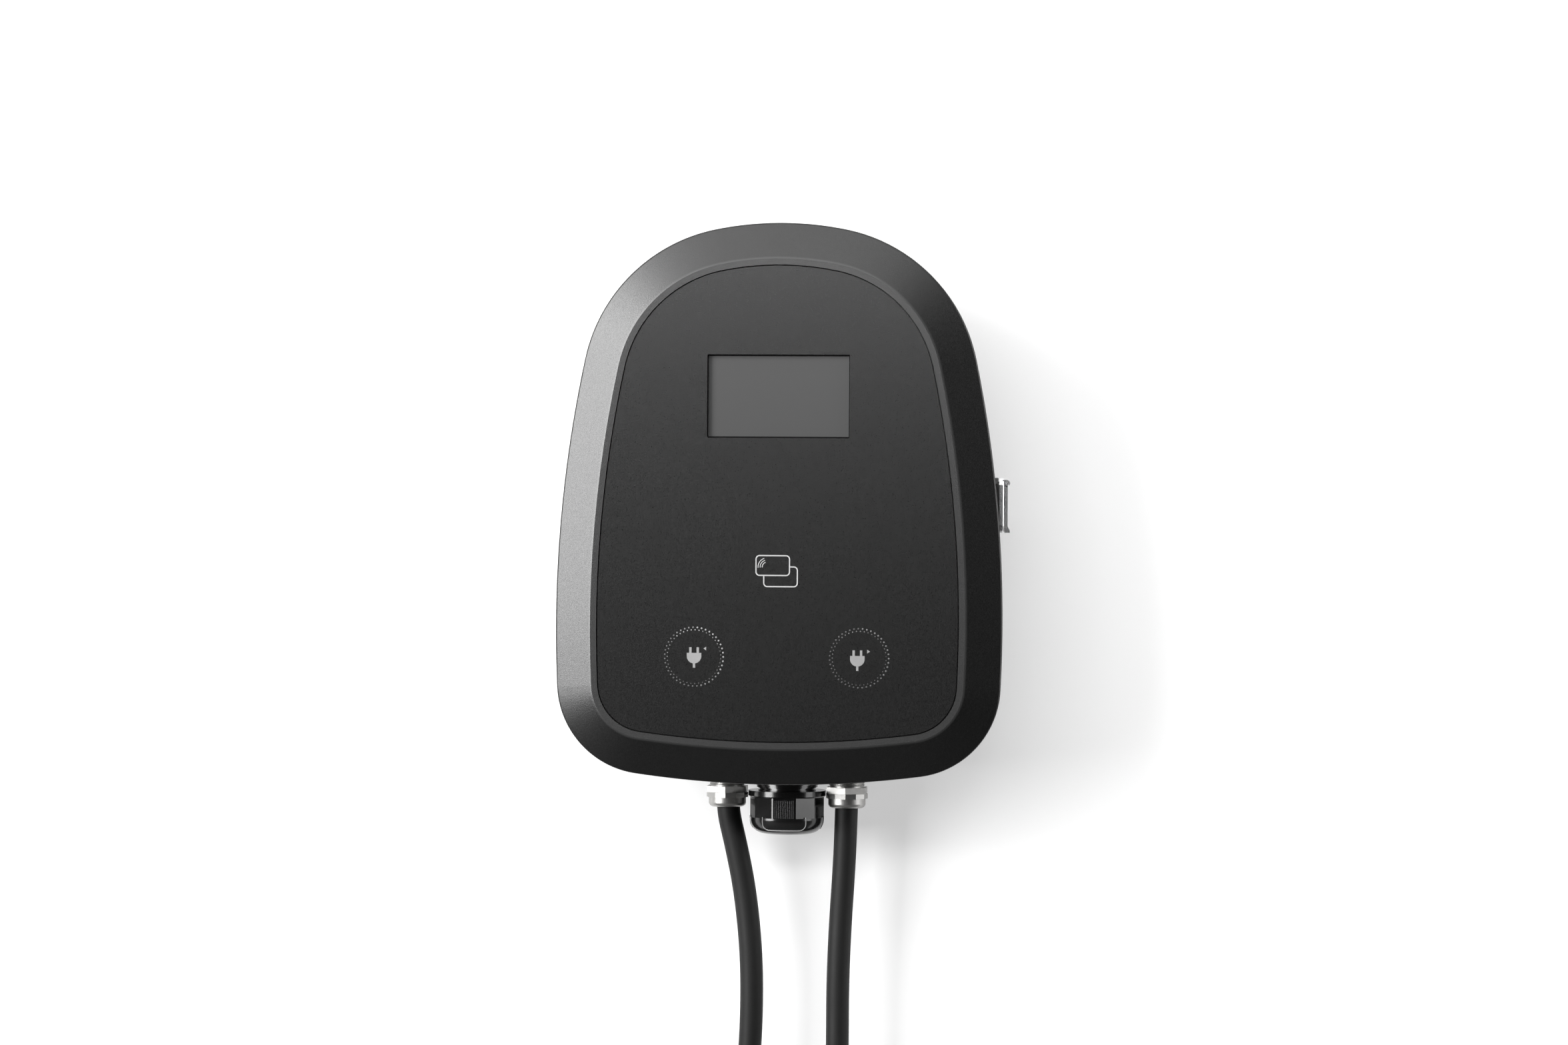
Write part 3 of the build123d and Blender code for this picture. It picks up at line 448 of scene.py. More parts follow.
@dataclass(frozen=True)
class RimmedCoat(PowderCoat):
    """The cover's coat, a little paler on the flat rim round the panel.

    Attributes:
        rim: colour of the rim.
        rim_depth: distance from the wall at which the rim starts, in metres.
    """

    rim: Point = (0.02, 0.02, 0.02)
    rim_depth: float = 0.1174

    def tint(self, shader: Shader) -> Any:
        """The coat's colour, and the paler rim in front of it.

        Args:
            shader: the shader to build in.

        Returns:
            The colour's socket.
        """
        out = shader.axes()[1] * -1
        made = shader.node(
            "ShaderNodeMix",
            {"data_type": "RGBA"},
            {"Factor": out.between(self.rim_depth, self.rim_depth + 0.0004), 6: super().tint(shader)},
        )
        made.inputs[7].default_value = (*self.rim, 1.0)
        return made.outputs[2]


@dataclass(frozen=True)
class PlatedMetal(Finish):
    """Plated metal with fine turning or brushing marks along one axis.

    Attributes:
        marks: the stretch of the noise that makes the marks.
    """

    marks: Point = (1, 1, 30)

    def height(self, shader: Shader) -> Signal:
        """Fine parallel marks."""
        return shader.noise(self.grain * 4, 3.0, self.marks)


@dataclass(frozen=True)
class ZincSheet(Finish):
    """Zinc-plated sheet with broad pale flakes."""

    def tint(self, shader: Shader) -> Any:
        """Flakes of slightly different greys.

        Args:
            shader: the shader to build in.

        Returns:
            The colour's socket.
        """
        flake = shader.node(
            "ShaderNodeTexVoronoi",
            inputs={"Vector": shader.place, "Scale": 1.0 / 0.006},
        )
        grey = shader.node(
            "ShaderNodeSeparateColor", inputs={0: flake.outputs["Color"]}
        )
        dark = tuple(value * (1 - self.mottle) for value in self.colour)
        return shader.mix(Signal(shader, grey.outputs[0]), dark, self.colour)


@dataclass(frozen=True)
class WovenStrap(Finish):
    """Woven hook-and-loop strap."""

    def height(self, shader: Shader) -> Signal:
        """Crossed threads under short loops.

        Args:
            shader: the shader to build in.

        Returns:
            The height, from 0 to 1.
        """
        x, y, z = shader.axes()
        threads = x.wave(self.grain) * (y + z).wave(self.grain)
        return threads * 0.7 + shader.noise(self.grain * 0.5, 2.0) * 0.3


@dataclass(frozen=True)
class RibbedRubber(Finish):
    """Moulded rubber with faint rings along its height."""

    def height(self, shader: Shader) -> Signal:
        """Rings and fine grain."""
        return shader.axes()[2].wave(0.004) * 0.3 + shader.noise(self.grain, 3.0) * 0.7


@dataclass(frozen=True)
class CableJacket(Finish):
    """Extruded cable jacket: satin, with faint scuffs along it."""

    def tint(self, shader: Shader) -> Any:
        """Black jacket with paler rubbed patches.

        Args:
            shader: the shader to build in.

        Returns:
            The colour's socket.
        """
        rub = shader.noise(0.012, 5.0, (1, 1, 0.25)).between(0.5, 0.85)
        light = tuple(value * (1 + 3 * self.mottle) for value in self.colour)
        return shader.mix(rub, self.colour, light)


@dataclass(frozen=True)
class CircuitBoard(Finish):
    """Solder-masked board with copper tracks just under the mask.

    Attributes:
        track: the paler colour over the tracks.
        pitch: distance between the tracks, in metres.
    """

    track: Point = (0.03, 0.2, 0.09)
    pitch: float = 0.0028

    def tint(self, shader: Shader) -> Any:
        """Bundles of tracks that run across and up the board.

        Args:
            shader: the shader to build in.

        Returns:
            The colour's socket.
        """
        x, _, z = shader.axes()
        area = shader.noise(0.022, 0.0)
        across = (z.wave(self.pitch) > 0.62) * (area > 0.5)
        upward = (x.wave(self.pitch) > 0.62) * (area < 0.44)
        return shader.mix(across + upward, self.colour, self.track)


@dataclass(frozen=True)
class ScreenGlass(Finish):
    """A switched-off screen behind glass, with a black printed border and painted light that makes it
    paler towards the top.

    Attributes:
        centre: the screen's centre, x and z, in metres.
        half: half the visible screen's width and height, in metres.
        border: the border's colour.
    """

    centre: Flat = (0.0, 0.0)
    half: Flat = (0.0474, 0.027)
    border: Point = (0.004, 0.004, 0.004)

    def tint(self, shader: Shader) -> Any:
        """The grey screen inside its border, with painted light: a little paler towards the top, as if
        lit from above.

        Args:
            shader: the shader to build in.

        Returns:
            The colour's socket.
        """
        x, _, z = shader.axes()
        inside = (abs(x - self.centre[0]) < self.half[0]) * (abs(z - self.centre[1]) < self.half[1])
        # Painted light: the screen is made up to 8 % paler towards its top, as if lit from above.
        rise = (z - self.centre[1]).between(-self.half[1], self.half[1])
        lighter = tuple(value * 1.08 for value in self.colour)
        made = shader.node(
            "ShaderNodeMix",
            {"data_type": "RGBA"},
            {"Factor": inside, 7: shader.mix(rise, self.colour, lighter)},
        )
        made.inputs[6].default_value = (*self.border, 1.0)
        return made.outputs[2]


@dataclass(frozen=True)
class Glow(Finish):
    """A lamp dot: milky plastic that gives a little light of its own.

    Attributes:
        power: the strength of its light.
    """

    power: float = 0.3

    def build(self) -> bpy.types.Material:
        """Makes the material.

        Returns:
            The Blender material.
        """
        shader = Shader(self.name)
        return shader.finish(
            Base_Color=self.tint(shader),
            Roughness=self.roughness,
            Emission_Color=(1.0, 1.0, 1.0, 1.0),
            Emission_Strength=self.power,
            Normal=shader.bump(self.height(shader), self.depth, self.strength),
        )


def grey(value: float) -> Point:
    """A neutral colour."""
    return (value, value, value)


COVER_COAT = RimmedCoat(
    "cover_coat", grey(0.002), 0.34, grain=0.0008, depth=0.00010, strength=0.7, mottle=0.6,
    gloss_spread=0.12
)
HOUSING_COAT = PowderCoat(
    "housing_coat", grey(0.008), 0.42, grain=0.0011, depth=0.00006, strength=0.5, mottle=0.3
)
PANEL_SKIN = PowderCoat(
    "panel_skin", grey(0.002), 0.33, grain=0.0008, depth=0.00010, strength=0.7, mottle=0.6,
    gloss_spread=0.12
)
NICKEL = PlatedMetal(
    "nickel_plate", (0.42, 0.415, 0.405), 0.4, metallic=1.0, grain=0.0008, depth=0.00003,
    strength=0.5, gloss_spread=0.06, mottle=0.06,
)
CHROME = PlatedMetal(
    "lock_chrome", (0.9, 0.9, 0.91), 0.22, metallic=1.0, grain=0.0008, depth=0.00001,
    strength=0.25, gloss_spread=0.03, mottle=0.04, marks=(1, 1, 6),
)
NYLON = Finish(
    "black_nylon", grey(0.006), 0.2, grain=0.0014, depth=0.00002, strength=0.3, coat=0.2,
    gloss_spread=0.05,
)
# Painted highlight: pale grey on the nylon cap's raised lines stands for the light that their edges
# catch.
NYLON_PAINTED_HIGHLIGHT = Finish(
    "nylon_edge_painted_highlight", grey(0.3), 0.15, grain=0.0014, depth=0.00001, strength=0.2, coat=0.4,
)
JACKET = CableJacket(
    "cable_jacket", grey(0.003), 0.58, grain=0.0010, depth=0.00005, strength=0.5, mottle=0.3,
    shine=0.3,
)
RUBBER = Finish("seal_rubber", grey(0.014), 0.62, grain=0.0006, depth=0.00003)
BOOT_RUBBER = RibbedRubber("boot_rubber", grey(0.02), 0.55, grain=0.0007, depth=0.0001)
ZINC = ZincSheet("zinc_sheet", (0.6, 0.61, 0.63), 0.36, metallic=1.0, mottle=0.3)
STEEL = PlatedMetal(
    "screw_steel", (0.62, 0.62, 0.64), 0.28, metallic=1.0, grain=0.0005, depth=0.00001, mottle=0.06
)
BRASS = PlatedMetal(
    "contact_brass", (0.78, 0.6, 0.3), 0.25, metallic=1.0, grain=0.0005, depth=0.00001, mottle=0.06
)
PALE_MOULDING = Finish("pale_moulding", grey(0.55), 0.45, grain=0.0005, depth=0.00003, mottle=0.05)
DARK_MOULDING = Finish("dark_moulding", grey(0.02), 0.5, grain=0.0007, depth=0.00005, mottle=0.2)
CLEAR_MOULDING = Finish("clear_moulding", grey(0.7), 0.3, grain=0.0008, depth=0.00001, coat=0.3)
BOARD = CircuitBoard("board_mask", (0.012, 0.11, 0.045), 0.32, grain=0.0006, depth=0.00001)
CHIP = Finish("chip_case", grey(0.015), 0.5, grain=0.0004, depth=0.00002)
CAN = Finish("capacitor_sleeve", (0.02, 0.03, 0.07), 0.3, grain=0.001, depth=0.00001)
SILVER_INK = Finish("silver_ink", grey(0.2), 0.4, grain=0.0005, depth=0.00001, mottle=0.25)
INK = Finish("white_ink", grey(0.33), 0.55, grain=0.0005, depth=0.00001, mottle=0.04)
STRAP = WovenStrap("strap_weave", grey(0.018), 0.85, grain=0.0009, depth=0.0002, strength=0.8)


class LampLevel(Enum):
    """How brightly a lamp dot shows."""

    FAINT = Glow("lamp_faint", grey(0.025), 0.45, power=0.005)
    DIM = Glow("lamp_dim", grey(0.045), 0.45, power=0.01)
    MIDDLE = Glow("lamp_middle", grey(0.09), 0.45, power=0.02)
    BRIGHT = Glow("lamp_bright", grey(0.19), 0.45, power=0.05)


class Paints:
    """Keeps one Blender material per finish."""

    def __init__(self) -> None:
        """Starts with none made."""
        self._made: dict[str, bpy.types.Material] = {}

    def __getitem__(self, finish: Finish) -> bpy.types.Material:
        """The material of a finish, made on first use.

        Args:
            finish: the finish to look up.

        Returns:
            Its Blender material.
        """
        if finish.name not in self._made:
            self._made[finish.name] = finish.build()
        return self._made[finish.name]


PAINTS = Paints()


# ---------------------------------------------------------------------- mesh building


class Piece:
    """A mesh that is being built, in metres in the object's frame."""

    def __init__(self) -> None:
        """Starts empty."""
        self.mesh = bmesh.new()

    def bar(self, low: Vector, high: Vector, rounding: float = 0.0) -> None:
        """Adds a box with rounded edges.

        Args:
            low: its lowest corner.
            high: its highest corner.
            rounding: radius of its edges, in metres.
        """
        size = high - low
        made = bmesh.ops.create_cube(self.mesh, size=1.0)["verts"]
        bmesh.ops.scale(self.mesh, vec=size, verts=made)
        bmesh.ops.translate(self.mesh, vec=(low + high) / 2, verts=made)
        if rounding > 0:
            edges = list({edge for vert in made for edge in vert.link_edges})
            bmesh.ops.bevel(
                self.mesh, geom=edges, offset=min(rounding, min(size) * 0.45), segments=3,
                profile=0.5, affect="EDGES",
            )

    def lathe(self, profile: Sequence[Flat], base: Vector, axis: Vector, sides: int = 32) -> None:
        """Turns a profile round an axis.

        Args:
            profile: (distance along the axis, radius) from one end to the other.
            base: the point where distance along the axis is 0.
            axis: the direction of the axis.
            sides: points round each ring.
        """
        turn = Vector((0, 0, 1)).rotation_difference(axis.normalized())
        rings = []
        for along, radius in profile:
            ring = []
            for step in range(sides):
                angle = 2 * math.pi * step / sides
                local = Vector((radius * math.cos(angle), radius * math.sin(angle), along))
                ring.append(self.mesh.verts.new(base + turn @ local))
            rings.append(ring)
        for first, second in zip(rings, rings[1:]):
            for step in range(sides):
                after = (step + 1) % sides
                self.mesh.faces.new((first[step], first[after], second[after], second[step]))
        self.mesh.faces.new(list(reversed(rings[0])))
        self.mesh.faces.new(rings[-1])

    def rod(self, start: Vector, end: Vector, radius: float, rounding: float = 0.0) -> None:
        """Adds a round rod with slightly rounded ends.

        Args:
            start: the middle of one end.
            end: the middle of the other end.
            radius: its radius, in metres.
            rounding: radius of its end edges, or 0 for a share of its radius.
        """
        length = (end - start).length
        edge = rounding or radius * 0.12
        profile = [
            (0.0, radius - edge), (edge * 0.3, radius - edge * 0.3), (edge, radius),
            (length - edge, radius), (length - edge * 0.3, radius - edge * 0.3),
            (length, radius - edge),
        ]
        self.lathe(profile, start, end - start)

    def dome(self, base: Vector, out: Vector, radius: float, rise: float, sides: int = 14) -> None:
        """Adds a low dome, such as a lamp dot.

        Args:
            base: the middle of its flat side.
            out: the direction that it bulges in.
            radius: its radius.
            rise: its height.
            sides: points round it.
        """
        levels = 4
        profile = [
            (rise * math.sin(math.pi / 2 * step / levels), radius * math.cos(math.pi / 2 * step / levels))
            for step in range(levels)
        ]
        profile.append((rise, radius * 0.08))
        self.lathe(profile, base, out, sides)

    def ribbon(self, line: Sequence[Flat], width: float, depth: float, rise: float, closed: bool) -> None:
        """Adds a flat printed line that faces outwards from the panel.

        Args:
            line: its middle, as (x, z) points in millimetres.
            width: its width in millimetres.
            depth: distance from the wall of the surface that it lies on, in millimetres.
            rise: its thickness in millimetres.
            closed: whether the last point joins the first.
        """
        count = len(line)
        left, right = [], []
        for index, (x, z) in enumerate(line):
            before = line[index - 1] if closed or index else line[0]
            after = line[(index + 1) % count] if closed or index < count - 1 else line[-1]
            along = Vector((after[0] - before[0], after[1] - before[1])).normalized()
            side = Vector((-along.y, along.x)) * width / 2
            for store, sign in ((left, 1), (right, -1)):
                store.append([
                    self.mesh.verts.new(millimetres(x + sign * side.x, -(depth + up), z + sign * side.y))
                    for up in (0.0, rise)
                ])
        last = count if closed else count - 1
        for index in range(last):
            after = (index + 1) % count
            a, b, c, d = left[index], left[after], right[after], right[index]
            self.mesh.faces.new((a[1], b[1], c[1], d[1]))
            self.mesh.faces.new((d[0], c[0], b[0], a[0]))
            self.mesh.faces.new((a[0], b[0], b[1], a[1]))
            self.mesh.faces.new((c[0], d[0], d[1], c[1]))
        if not closed:
            for end in (0, -1):
                a, b = left[end], right[end]
                self.mesh.faces.new((a[0], a[1], b[1], b[0]))

    def patch(self, outline: Sequence[Flat], depth: float, rise: float) -> None:
        """Adds a flat printed shape that faces outwards from the panel, in millimetres.

        Args:
            outline: its corners, as (x, z) points.
            depth: distance from the wall of the surface that it lies on.
            rise: its thickness.
        """
        back = [self.mesh.verts.new(millimetres(x, -depth, z)) for x, z in outline]
        front = [self.mesh.verts.new(millimetres(x, -(depth + rise), z)) for x, z in outline]
        self.mesh.faces.new(front)
        self.mesh.faces.new(list(reversed(back)))
        for index in range(len(outline)):
            after = (index + 1) % len(outline)
            self.mesh.faces.new((back[index], back[after], front[after], front[index]))

    def place(self, name: str, finish: Finish, body: str, slot: str = "") -> bpy.types.Object:
        """Finishes the piece.

        Args:
            name: the piece's name.
            finish: what it is made of.
            body: the moving body that it belongs to.
            slot: the record's material slot, if it has one; not used.

        Returns:
            The Blender object.
        """
        bmesh.ops.recalc_face_normals(self.mesh, faces=self.mesh.faces)
        data = bpy.data.meshes.new(name)
        self.mesh.to_mesh(data)
        self.mesh.free()
        made = bpy.data.objects.new(name, data)
        bpy.context.scene.collection.objects.link(made)
        data.materials.append(PAINTS[finish])
        data.shade_smooth()
        data.set_sharp_from_angle(angle=math.radians(35))
        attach(made, body)
        log.info("made %s on %s", name, body)
        return made


def dress(node: str, finish: Finish) -> None:
    """Gives a CAD node its material.

    Args:
        node: the node's name.
        finish: what it is made of.
    """
    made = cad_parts[node]
    if not made.material_slots:
        made.data.materials.append(PAINTS[finish])
    for slot in made.material_slots:
        slot.material = PAINTS[finish]
    log.info("dressed %s in %s", node, finish.name)


# ------------------------------------------------------------------- view and light


@dataclass
class Viewpoint:
    """The camera in front of the station, a little to its right.

    Attributes:
        target: the point that it looks at, in metres.
        distance: how far away it is.
        turn: how far round to the right it stands, in degrees.
        roll: how far it is tipped about its line of sight, in degrees.
        width: width of the view at the target, in metres.
    """

    target: Point = (0.0036, -0.109, -0.0126)
    distance: float = 2.7
    turn: float = 5.4
    roll: float = 0.4
    width: float = 1.0555
    sensor: float = 36.0

    def build(self) -> None:
        """Makes the camera."""
        data = bpy.data.cameras.new("camera")
        data.sensor_width = self.sensor
        data.lens = self.sensor * self.distance / self.width
        camera = bpy.data.objects.new("camera", data)
        angle = math.radians(self.turn)
        back = Vector((math.sin(angle), -math.cos(angle), 0))
        camera.location = Vector(self.target) + back * self.distance
        upright = (-back).to_track_quat("-Z", "Y")
        roll = Matrix.Rotation(math.radians(-self.roll), 4, -back)
        camera.rotation_mode = "QUATERNION"
        camera.rotation_quaternion = roll.to_quaternion() @ upright
        data.clip_end = 60
        bpy.context.scene.collection.objects.link(camera)
        bpy.context.scene.camera = camera
        log.info("camera %.2f m away, %.1f mm lens", self.distance, data.lens)


@dataclass
class SoftBox:
    """A large soft lamp that faces the station.

    Attributes:
        name: its name.
        turn: how far round to the right it stands, in degrees.
        rise: its height above the horizon, in degrees.
        distance: how far away it is, in metres.
        size: its width and height, in metres.
        power: its power in watts.
    """

    name: str
    turn: float
    rise: float
    distance: float
    size: Flat
    power: float

    def build(self) -> None:
        """Makes the lamp."""
        data = bpy.data.lights.new(self.name, "AREA")
        data.shape = "RECTANGLE"
        data.size, data.size_y = self.size
        data.energy = self.power
        lamp = bpy.data.objects.new(self.name, data)
        turn, rise = math.radians(self.turn), math.radians(self.rise)
        away = Vector((
            math.sin(turn) * math.cos(rise), -math.cos(turn) * math.cos(rise), math.sin(rise)
        ))
        lamp.location = away * self.distance
        lamp.rotation_mode = "QUATERNION"
        lamp.rotation_quaternion = away.to_track_quat("Z", "Y")
        lamp.visible_camera = False
        bpy.context.scene.collection.objects.link(lamp)


@dataclass
class Studio:
    """Pale wall and floor, soft lamps and an even sky.

    Attributes:
        wall_gap: distance of the wall behind the station, in metres.
        floor: height of the floor, in metres.
        reach: how far the wall and floor run, in metres.
        short: rays this short pass through the wall, in metres, so that what stands
            against it is lit when it is seen from behind.
        sky: strength of the even light from all round.
        wall_glow: light that the wall gives of its own, as a lit backdrop does.
        lamps: the lamps.
    """

    wall_gap: float = 0.0006
    floor: float = -0.83
    reach: float = 7.0
    short: float = 0.012
    sky: float = 0.03
    wall_glow: float = 0.45
    lamps: list[SoftBox] = field(default_factory=lambda: [
        SoftBox("left_wide", -50, 11, 2.2, (1.0, 1.7), 95),
        SoftBox("left_high", -38, 28, 2.2, (0.9, 1.0), 10),
        SoftBox("front_strip", -5, 20, 1.6, (1.2, 0.25), 12),
        SoftBox("above", 0, 46, 1.8, (1.8, 0.6), 14),
        SoftBox("wall_wash", 5, 76, 1.6, (2.4, 0.6), 8),
        SoftBox("right_fill", 74, 12, 2.2, (1.0, 1.8), 24),
        SoftBox("behind", 205, 30, 2.6, (2.0, 2.0), 40),
    ])

    def sheet(self, name: str, corners: Sequence[Vector], material: bpy.types.Material) -> None:
        """Makes a flat sheet that isn't part of the station.

        Args:
            name: the sheet's name.
            corners: its four corners, in order.
            material: what it is painted with.
        """
        data = bpy.data.meshes.new(name)
        data.from_pydata([tuple(corner) for corner in corners], [], [(0, 1, 2, 3)])
        data.materials.append(material)
        made = bpy.data.objects.new(name, data)
        bpy.context.scene.collection.objects.link(made)
        made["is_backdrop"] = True

    def wall_paint(self) -> bpy.types.Material:
        """White wall paint that is clear from behind and to very short rays.

        Returns:
            The paint.
        """
        shader = Shader("wall_paint")
        roller = shader.noise(0.004, 4.0)
        paint = shader.node(
            "ShaderNodeBsdfPrincipled",
            inputs={
                "Base Color": (0.5, 0.5, 0.5, 1.0),
                "Roughness": 0.7,
                "Emission Color": (1.0, 1.0, 1.0, 1.0),
                "Emission Strength": self.wall_glow,
                "Normal": shader.bump(roller, 0.0001, 0.15),
            },
        )
        clear = shader.node("ShaderNodeBsdfTransparent")
        path = shader.node("ShaderNodeLightPath")
        face = shader.node("ShaderNodeNewGeometry")
        near = Signal(shader, path.outputs["Ray Length"]) < self.short
        behind = Signal(shader, face.outputs["Backfacing"])
        mixed = shader.node(
            "ShaderNodeMixShader",
            inputs={0: near.maths("MAXIMUM", behind), 1: paint.outputs[0], 2: clear.outputs[0]},
        )
        shader.node("ShaderNodeOutputMaterial", inputs={"Surface": mixed.outputs[0]})
        return shader.material

    def build(self) -> None:
        """Makes the wall, the floor, the lamps and the sky."""
        r, y, z = self.reach, self.wall_gap, self.floor
        self.sheet(
            "wall",
            [Vector((-r, y, z)), Vector((r, y, z)), Vector((r, y, r)), Vector((-r, y, r))],
            self.wall_paint(),
        )
        floor = Finish("floor_paint", grey(0.06), 0.8, grain=0.01, depth=0.0001)
        self.sheet(
            "floor",
            [Vector((-r, -r, z)), Vector((r, -r, z)), Vector((r, r, z)), Vector((-r, r, z))],
            PAINTS[floor],
        )
        for lamp in self.lamps:
            lamp.build()
        world = bpy.data.worlds.new("sky")
        world.use_nodes = True
        world.node_tree.nodes["Background"].inputs[0].default_value = (1.0, 1.0, 1.0, 1.0)
        world.node_tree.nodes["Background"].inputs[1].default_value = self.sky
        bpy.context.scene.world = world
        bpy.context.scene.view_settings.view_transform = "Standard"


# ------------------------------------------------------------------- charging cables


@dataclass
class ChargingCable:
    """One tethered cable: down from its gland, wound in a coil, ending in a connector.

    Attributes:
        side: left or right.
        route: the cable's way down, as (x, z) in metres.
        coil_x: the coil's middle.
        tail: which side of the coil the tail hangs on, 1 for right and -1 for left.
        length: the cable's real length in metres; not used.
        diameter: the cable's thickness.
        depth: distance of the gland's middle from the wall.
        coil_z: height of the coil's middle.
        exit: where the cable leaves its gland.
        steps: points in each turn.
        rows: radii of the inner, middle and outer turns.
        tail_heights: heights of the points down the tail.
        settled: share of each turn after which the cable moves over to the next one.
    """

    side: str
    route: tuple[Flat, ...]
    coil_x: float
    tail: int
    length: float = 4.85
    diameter: float = 0.016
    depth: float = 0.034
    coil_z: float = -0.505
    exit: Point = (0.0, 0.0, 0.0)
    steps: int = 18
    rows: Point = (0.074, 0.090, 0.106)
    tail_heights: tuple[float, ...] = (-0.505, -0.535, -0.58, -0.632)
    settled: float = 0.6

    def turns(self) -> Iterator[Point]:
        """The turns of the coil: eight turns in three rows, each pair a diameter apart.

        Yields:
            Points along the turns.
        """
        inner, middle, outer = self.rows
        back, centre, front = (self.depth + row * self.diameter for row in (-1, 0, 1))
        wound = [
            (outer, centre), (outer, back), (middle, back), (inner, back),
            (inner, centre), (middle, centre), (inner, front), (middle, front),
        ]
        last = len(wound) - 1
        for turn, (radius, row) in enumerate(wound):
            after = wound[min(turn + 1, last)]
            for step in range(self.steps):
                share = step / self.steps
                ease = min(1.0, max(0.0, (share - self.settled) / (1 - self.settled)))
                ease = ease * ease * (3 - 2 * ease)
                r = radius + (after[0] - radius) * ease
                h = row + (after[1] - row) * ease
                angle = 2 * math.pi * share
                yield (
                    self.coil_x + self.tail * r * math.cos(angle),
                    -h,
                    self.coil_z - r * math.sin(angle),
                )

    def build(self) -> bpy.types.Object:
        """Makes the cable and hides the CAD cable and coil that it stands in for.

        Returns:
            The cable.
        """
        points = [(x, -self.depth, z) for x, z in self.route]
        points += self.turns()
        tail_x = self.coil_x + self.tail * self.rows[1]
        tail_depth = self.depth + self.diameter
        points += [(tail_x, -tail_depth, z) for z in self.tail_heights]
        data = bpy.data.curves.new(f"charging_cable_{self.side}", "CURVE")
        data.dimensions = "3D"
        spline = data.splines.new("NURBS")
        spline.points.add(len(points) - 1)
        for point, place in zip(spline.points, points):
            point.co = (*place, 1.0)
        spline.order_u = 3
        spline.use_endpoint_u = True
        spline.resolution_u = 6
        data.bevel_depth = self.diameter / 2
        data.bevel_resolution = 5
        data.use_fill_caps = True
        data.materials.append(PAINTS[JACKET])
        cable = bpy.data.objects.new(f"charging_cable_{self.side}", data)
        bpy.context.scene.collection.objects.link(cable)
        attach(cable, "housing")
        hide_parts(f"cable_{self.side}", f"coil_{self.side}")
        hanging = [
            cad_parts[f"connector_{part}_{self.side}"] for part in ("boot", "grip", "nose")
        ]
        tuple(self.exit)
        log.info("made charging cable %s", self.side)
        return cable


@dataclass
class Cables:
    """Both charging cables with their straps and connectors."""

    left: ChargingCable = field(default_factory=lambda: ChargingCable(
        side="left",
        route=(
            (-0.0415, -0.192), (-0.0415, -0.211), (-0.0357, -0.234), (-0.0286, -0.268),
            (-0.0239, -0.312), (-0.0235, -0.356), (-0.0262, -0.400), (-0.0275, -0.455),
        ),
        coil_x=-0.1335,
        tail=1,
        exit=(-0.0415, -0.034, -0.2094),
    ))
    right: ChargingCable = field(default_factory=lambda: ChargingCable(
        side="right",
        route=(
            (0.0416, -0.193), (0.0413, -0.211), (0.0401, -0.248), (0.0374, -0.291),
            (0.0360, -0.331), (0.0361, -0.372), (0.0359, -0.414), (0.0350, -0.455),
        ),
        coil_x=0.141,
        tail=-1,
        exit=(0.0415, -0.034, -0.2094),
    ))

    def contacts(self, side: str) -> None:
        """Brass sleeves in the connector's contact holes.

        Args:
            side: left or right.
        """
        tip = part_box(f"connector_nose_{side}")[0].z
        boot_low, boot_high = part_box(f"connector_boot_{side}")
        x, y = (boot_low.x + boot_high.x) / 2, (boot_low.y + boot_high.y) / 2
        piece = Piece()
        spots = [(0, 0, 2.6), (-13.5, 0, 2.6), (13.5, 0, 2.6), (-7, 11.8, 2.6), (7, 11.8, 2.6),
                 (-6.5, -10.5, 2.2), (6.5, -10.5, 2.2)]
        for across, out, radius in spots:
            start = Vector((x, y, tip)) + millimetres(across, out, 22)
            piece.rod(start, start + millimetres(0, 0, -16), radius * MM)
        piece.place(f"contacts_{side}", BRASS, "housing")

    def ribs(self, side: str) -> None:
        """Rounded ribs along the connector's boot.

        Args:
            side: left or right.
        """
        low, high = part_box(f"connector_boot_{side}")
        middle = (low + high) / 2
        piece = Piece()
        count = 6
        for index in range(count):
            share = (index + 0.5) / count
            radius = 0.0155 + (0.010 - 0.0155) * share
            base = Vector((middle.x, middle.y, low.z + (high.z - low.z) * share - 0.0016))
            piece.lathe(
                [(0.0, radius - 0.0002), (0.0006, radius + 0.0009), (0.0016, radius + 0.0013),
                 (0.0026, radius + 0.0009), (0.0032, radius - 0.0004)],
                base, Vector((0, 0, 1)), 40,
            )
        piece.place(f"boot_ribs_{side}", BOOT_RUBBER, "housing", "seal_rubber")

    def build(self) -> None:
        """Makes both cables and dresses what is on them."""
        for cable in (self.left, self.right):
            cable.build()
            self.contacts(cable.side)
            self.ribs(cable.side)
            dress(f"connector_boot_{cable.side}", BOOT_RUBBER)
            dress(f"connector_grip_{cable.side}", DARK_MOULDING)
            dress(f"connector_nose_{cable.side}", DARK_MOULDING)
        dress("coil_straps", STRAP)


# ------------------------------------------------------------------------ casing


@dataclass
class Casing:
    """The painted cover and housing, the dark panel and their fixings."""

    def build(self) -> None:
        """Dresses the casing."""
        dress("front_cover", COVER_COAT)
        dress("sealing_frame", HOUSING_COAT)
        dress("rear_housing", HOUSING_COAT)
        dress("front_panel", PANEL_SKIN)
        dress("door_gasket", RUBBER)
        dress("wall_bracket", ZINC)
        for node in ("housing_screws", "frame_screws", "hinge_pins", "striker_pin"):
            dress(node, STEEL)


@dataclass
class Display:
    """The screen in its window."""

    def build(self) -> None:
        """Dresses the screen."""
        low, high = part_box("display_glass")
        middle = (low + high) / 2
        dress(
            "display_glass",
            ScreenGlass(
                "screen_glass", grey(0.055), 0.16, coat=0.6, grain=0.02, depth=0.00001,
                strength=0.1, gloss_spread=0.02, centre=(middle.x, middle.z),
            ),
        )
        dress("display_module", ZINC)


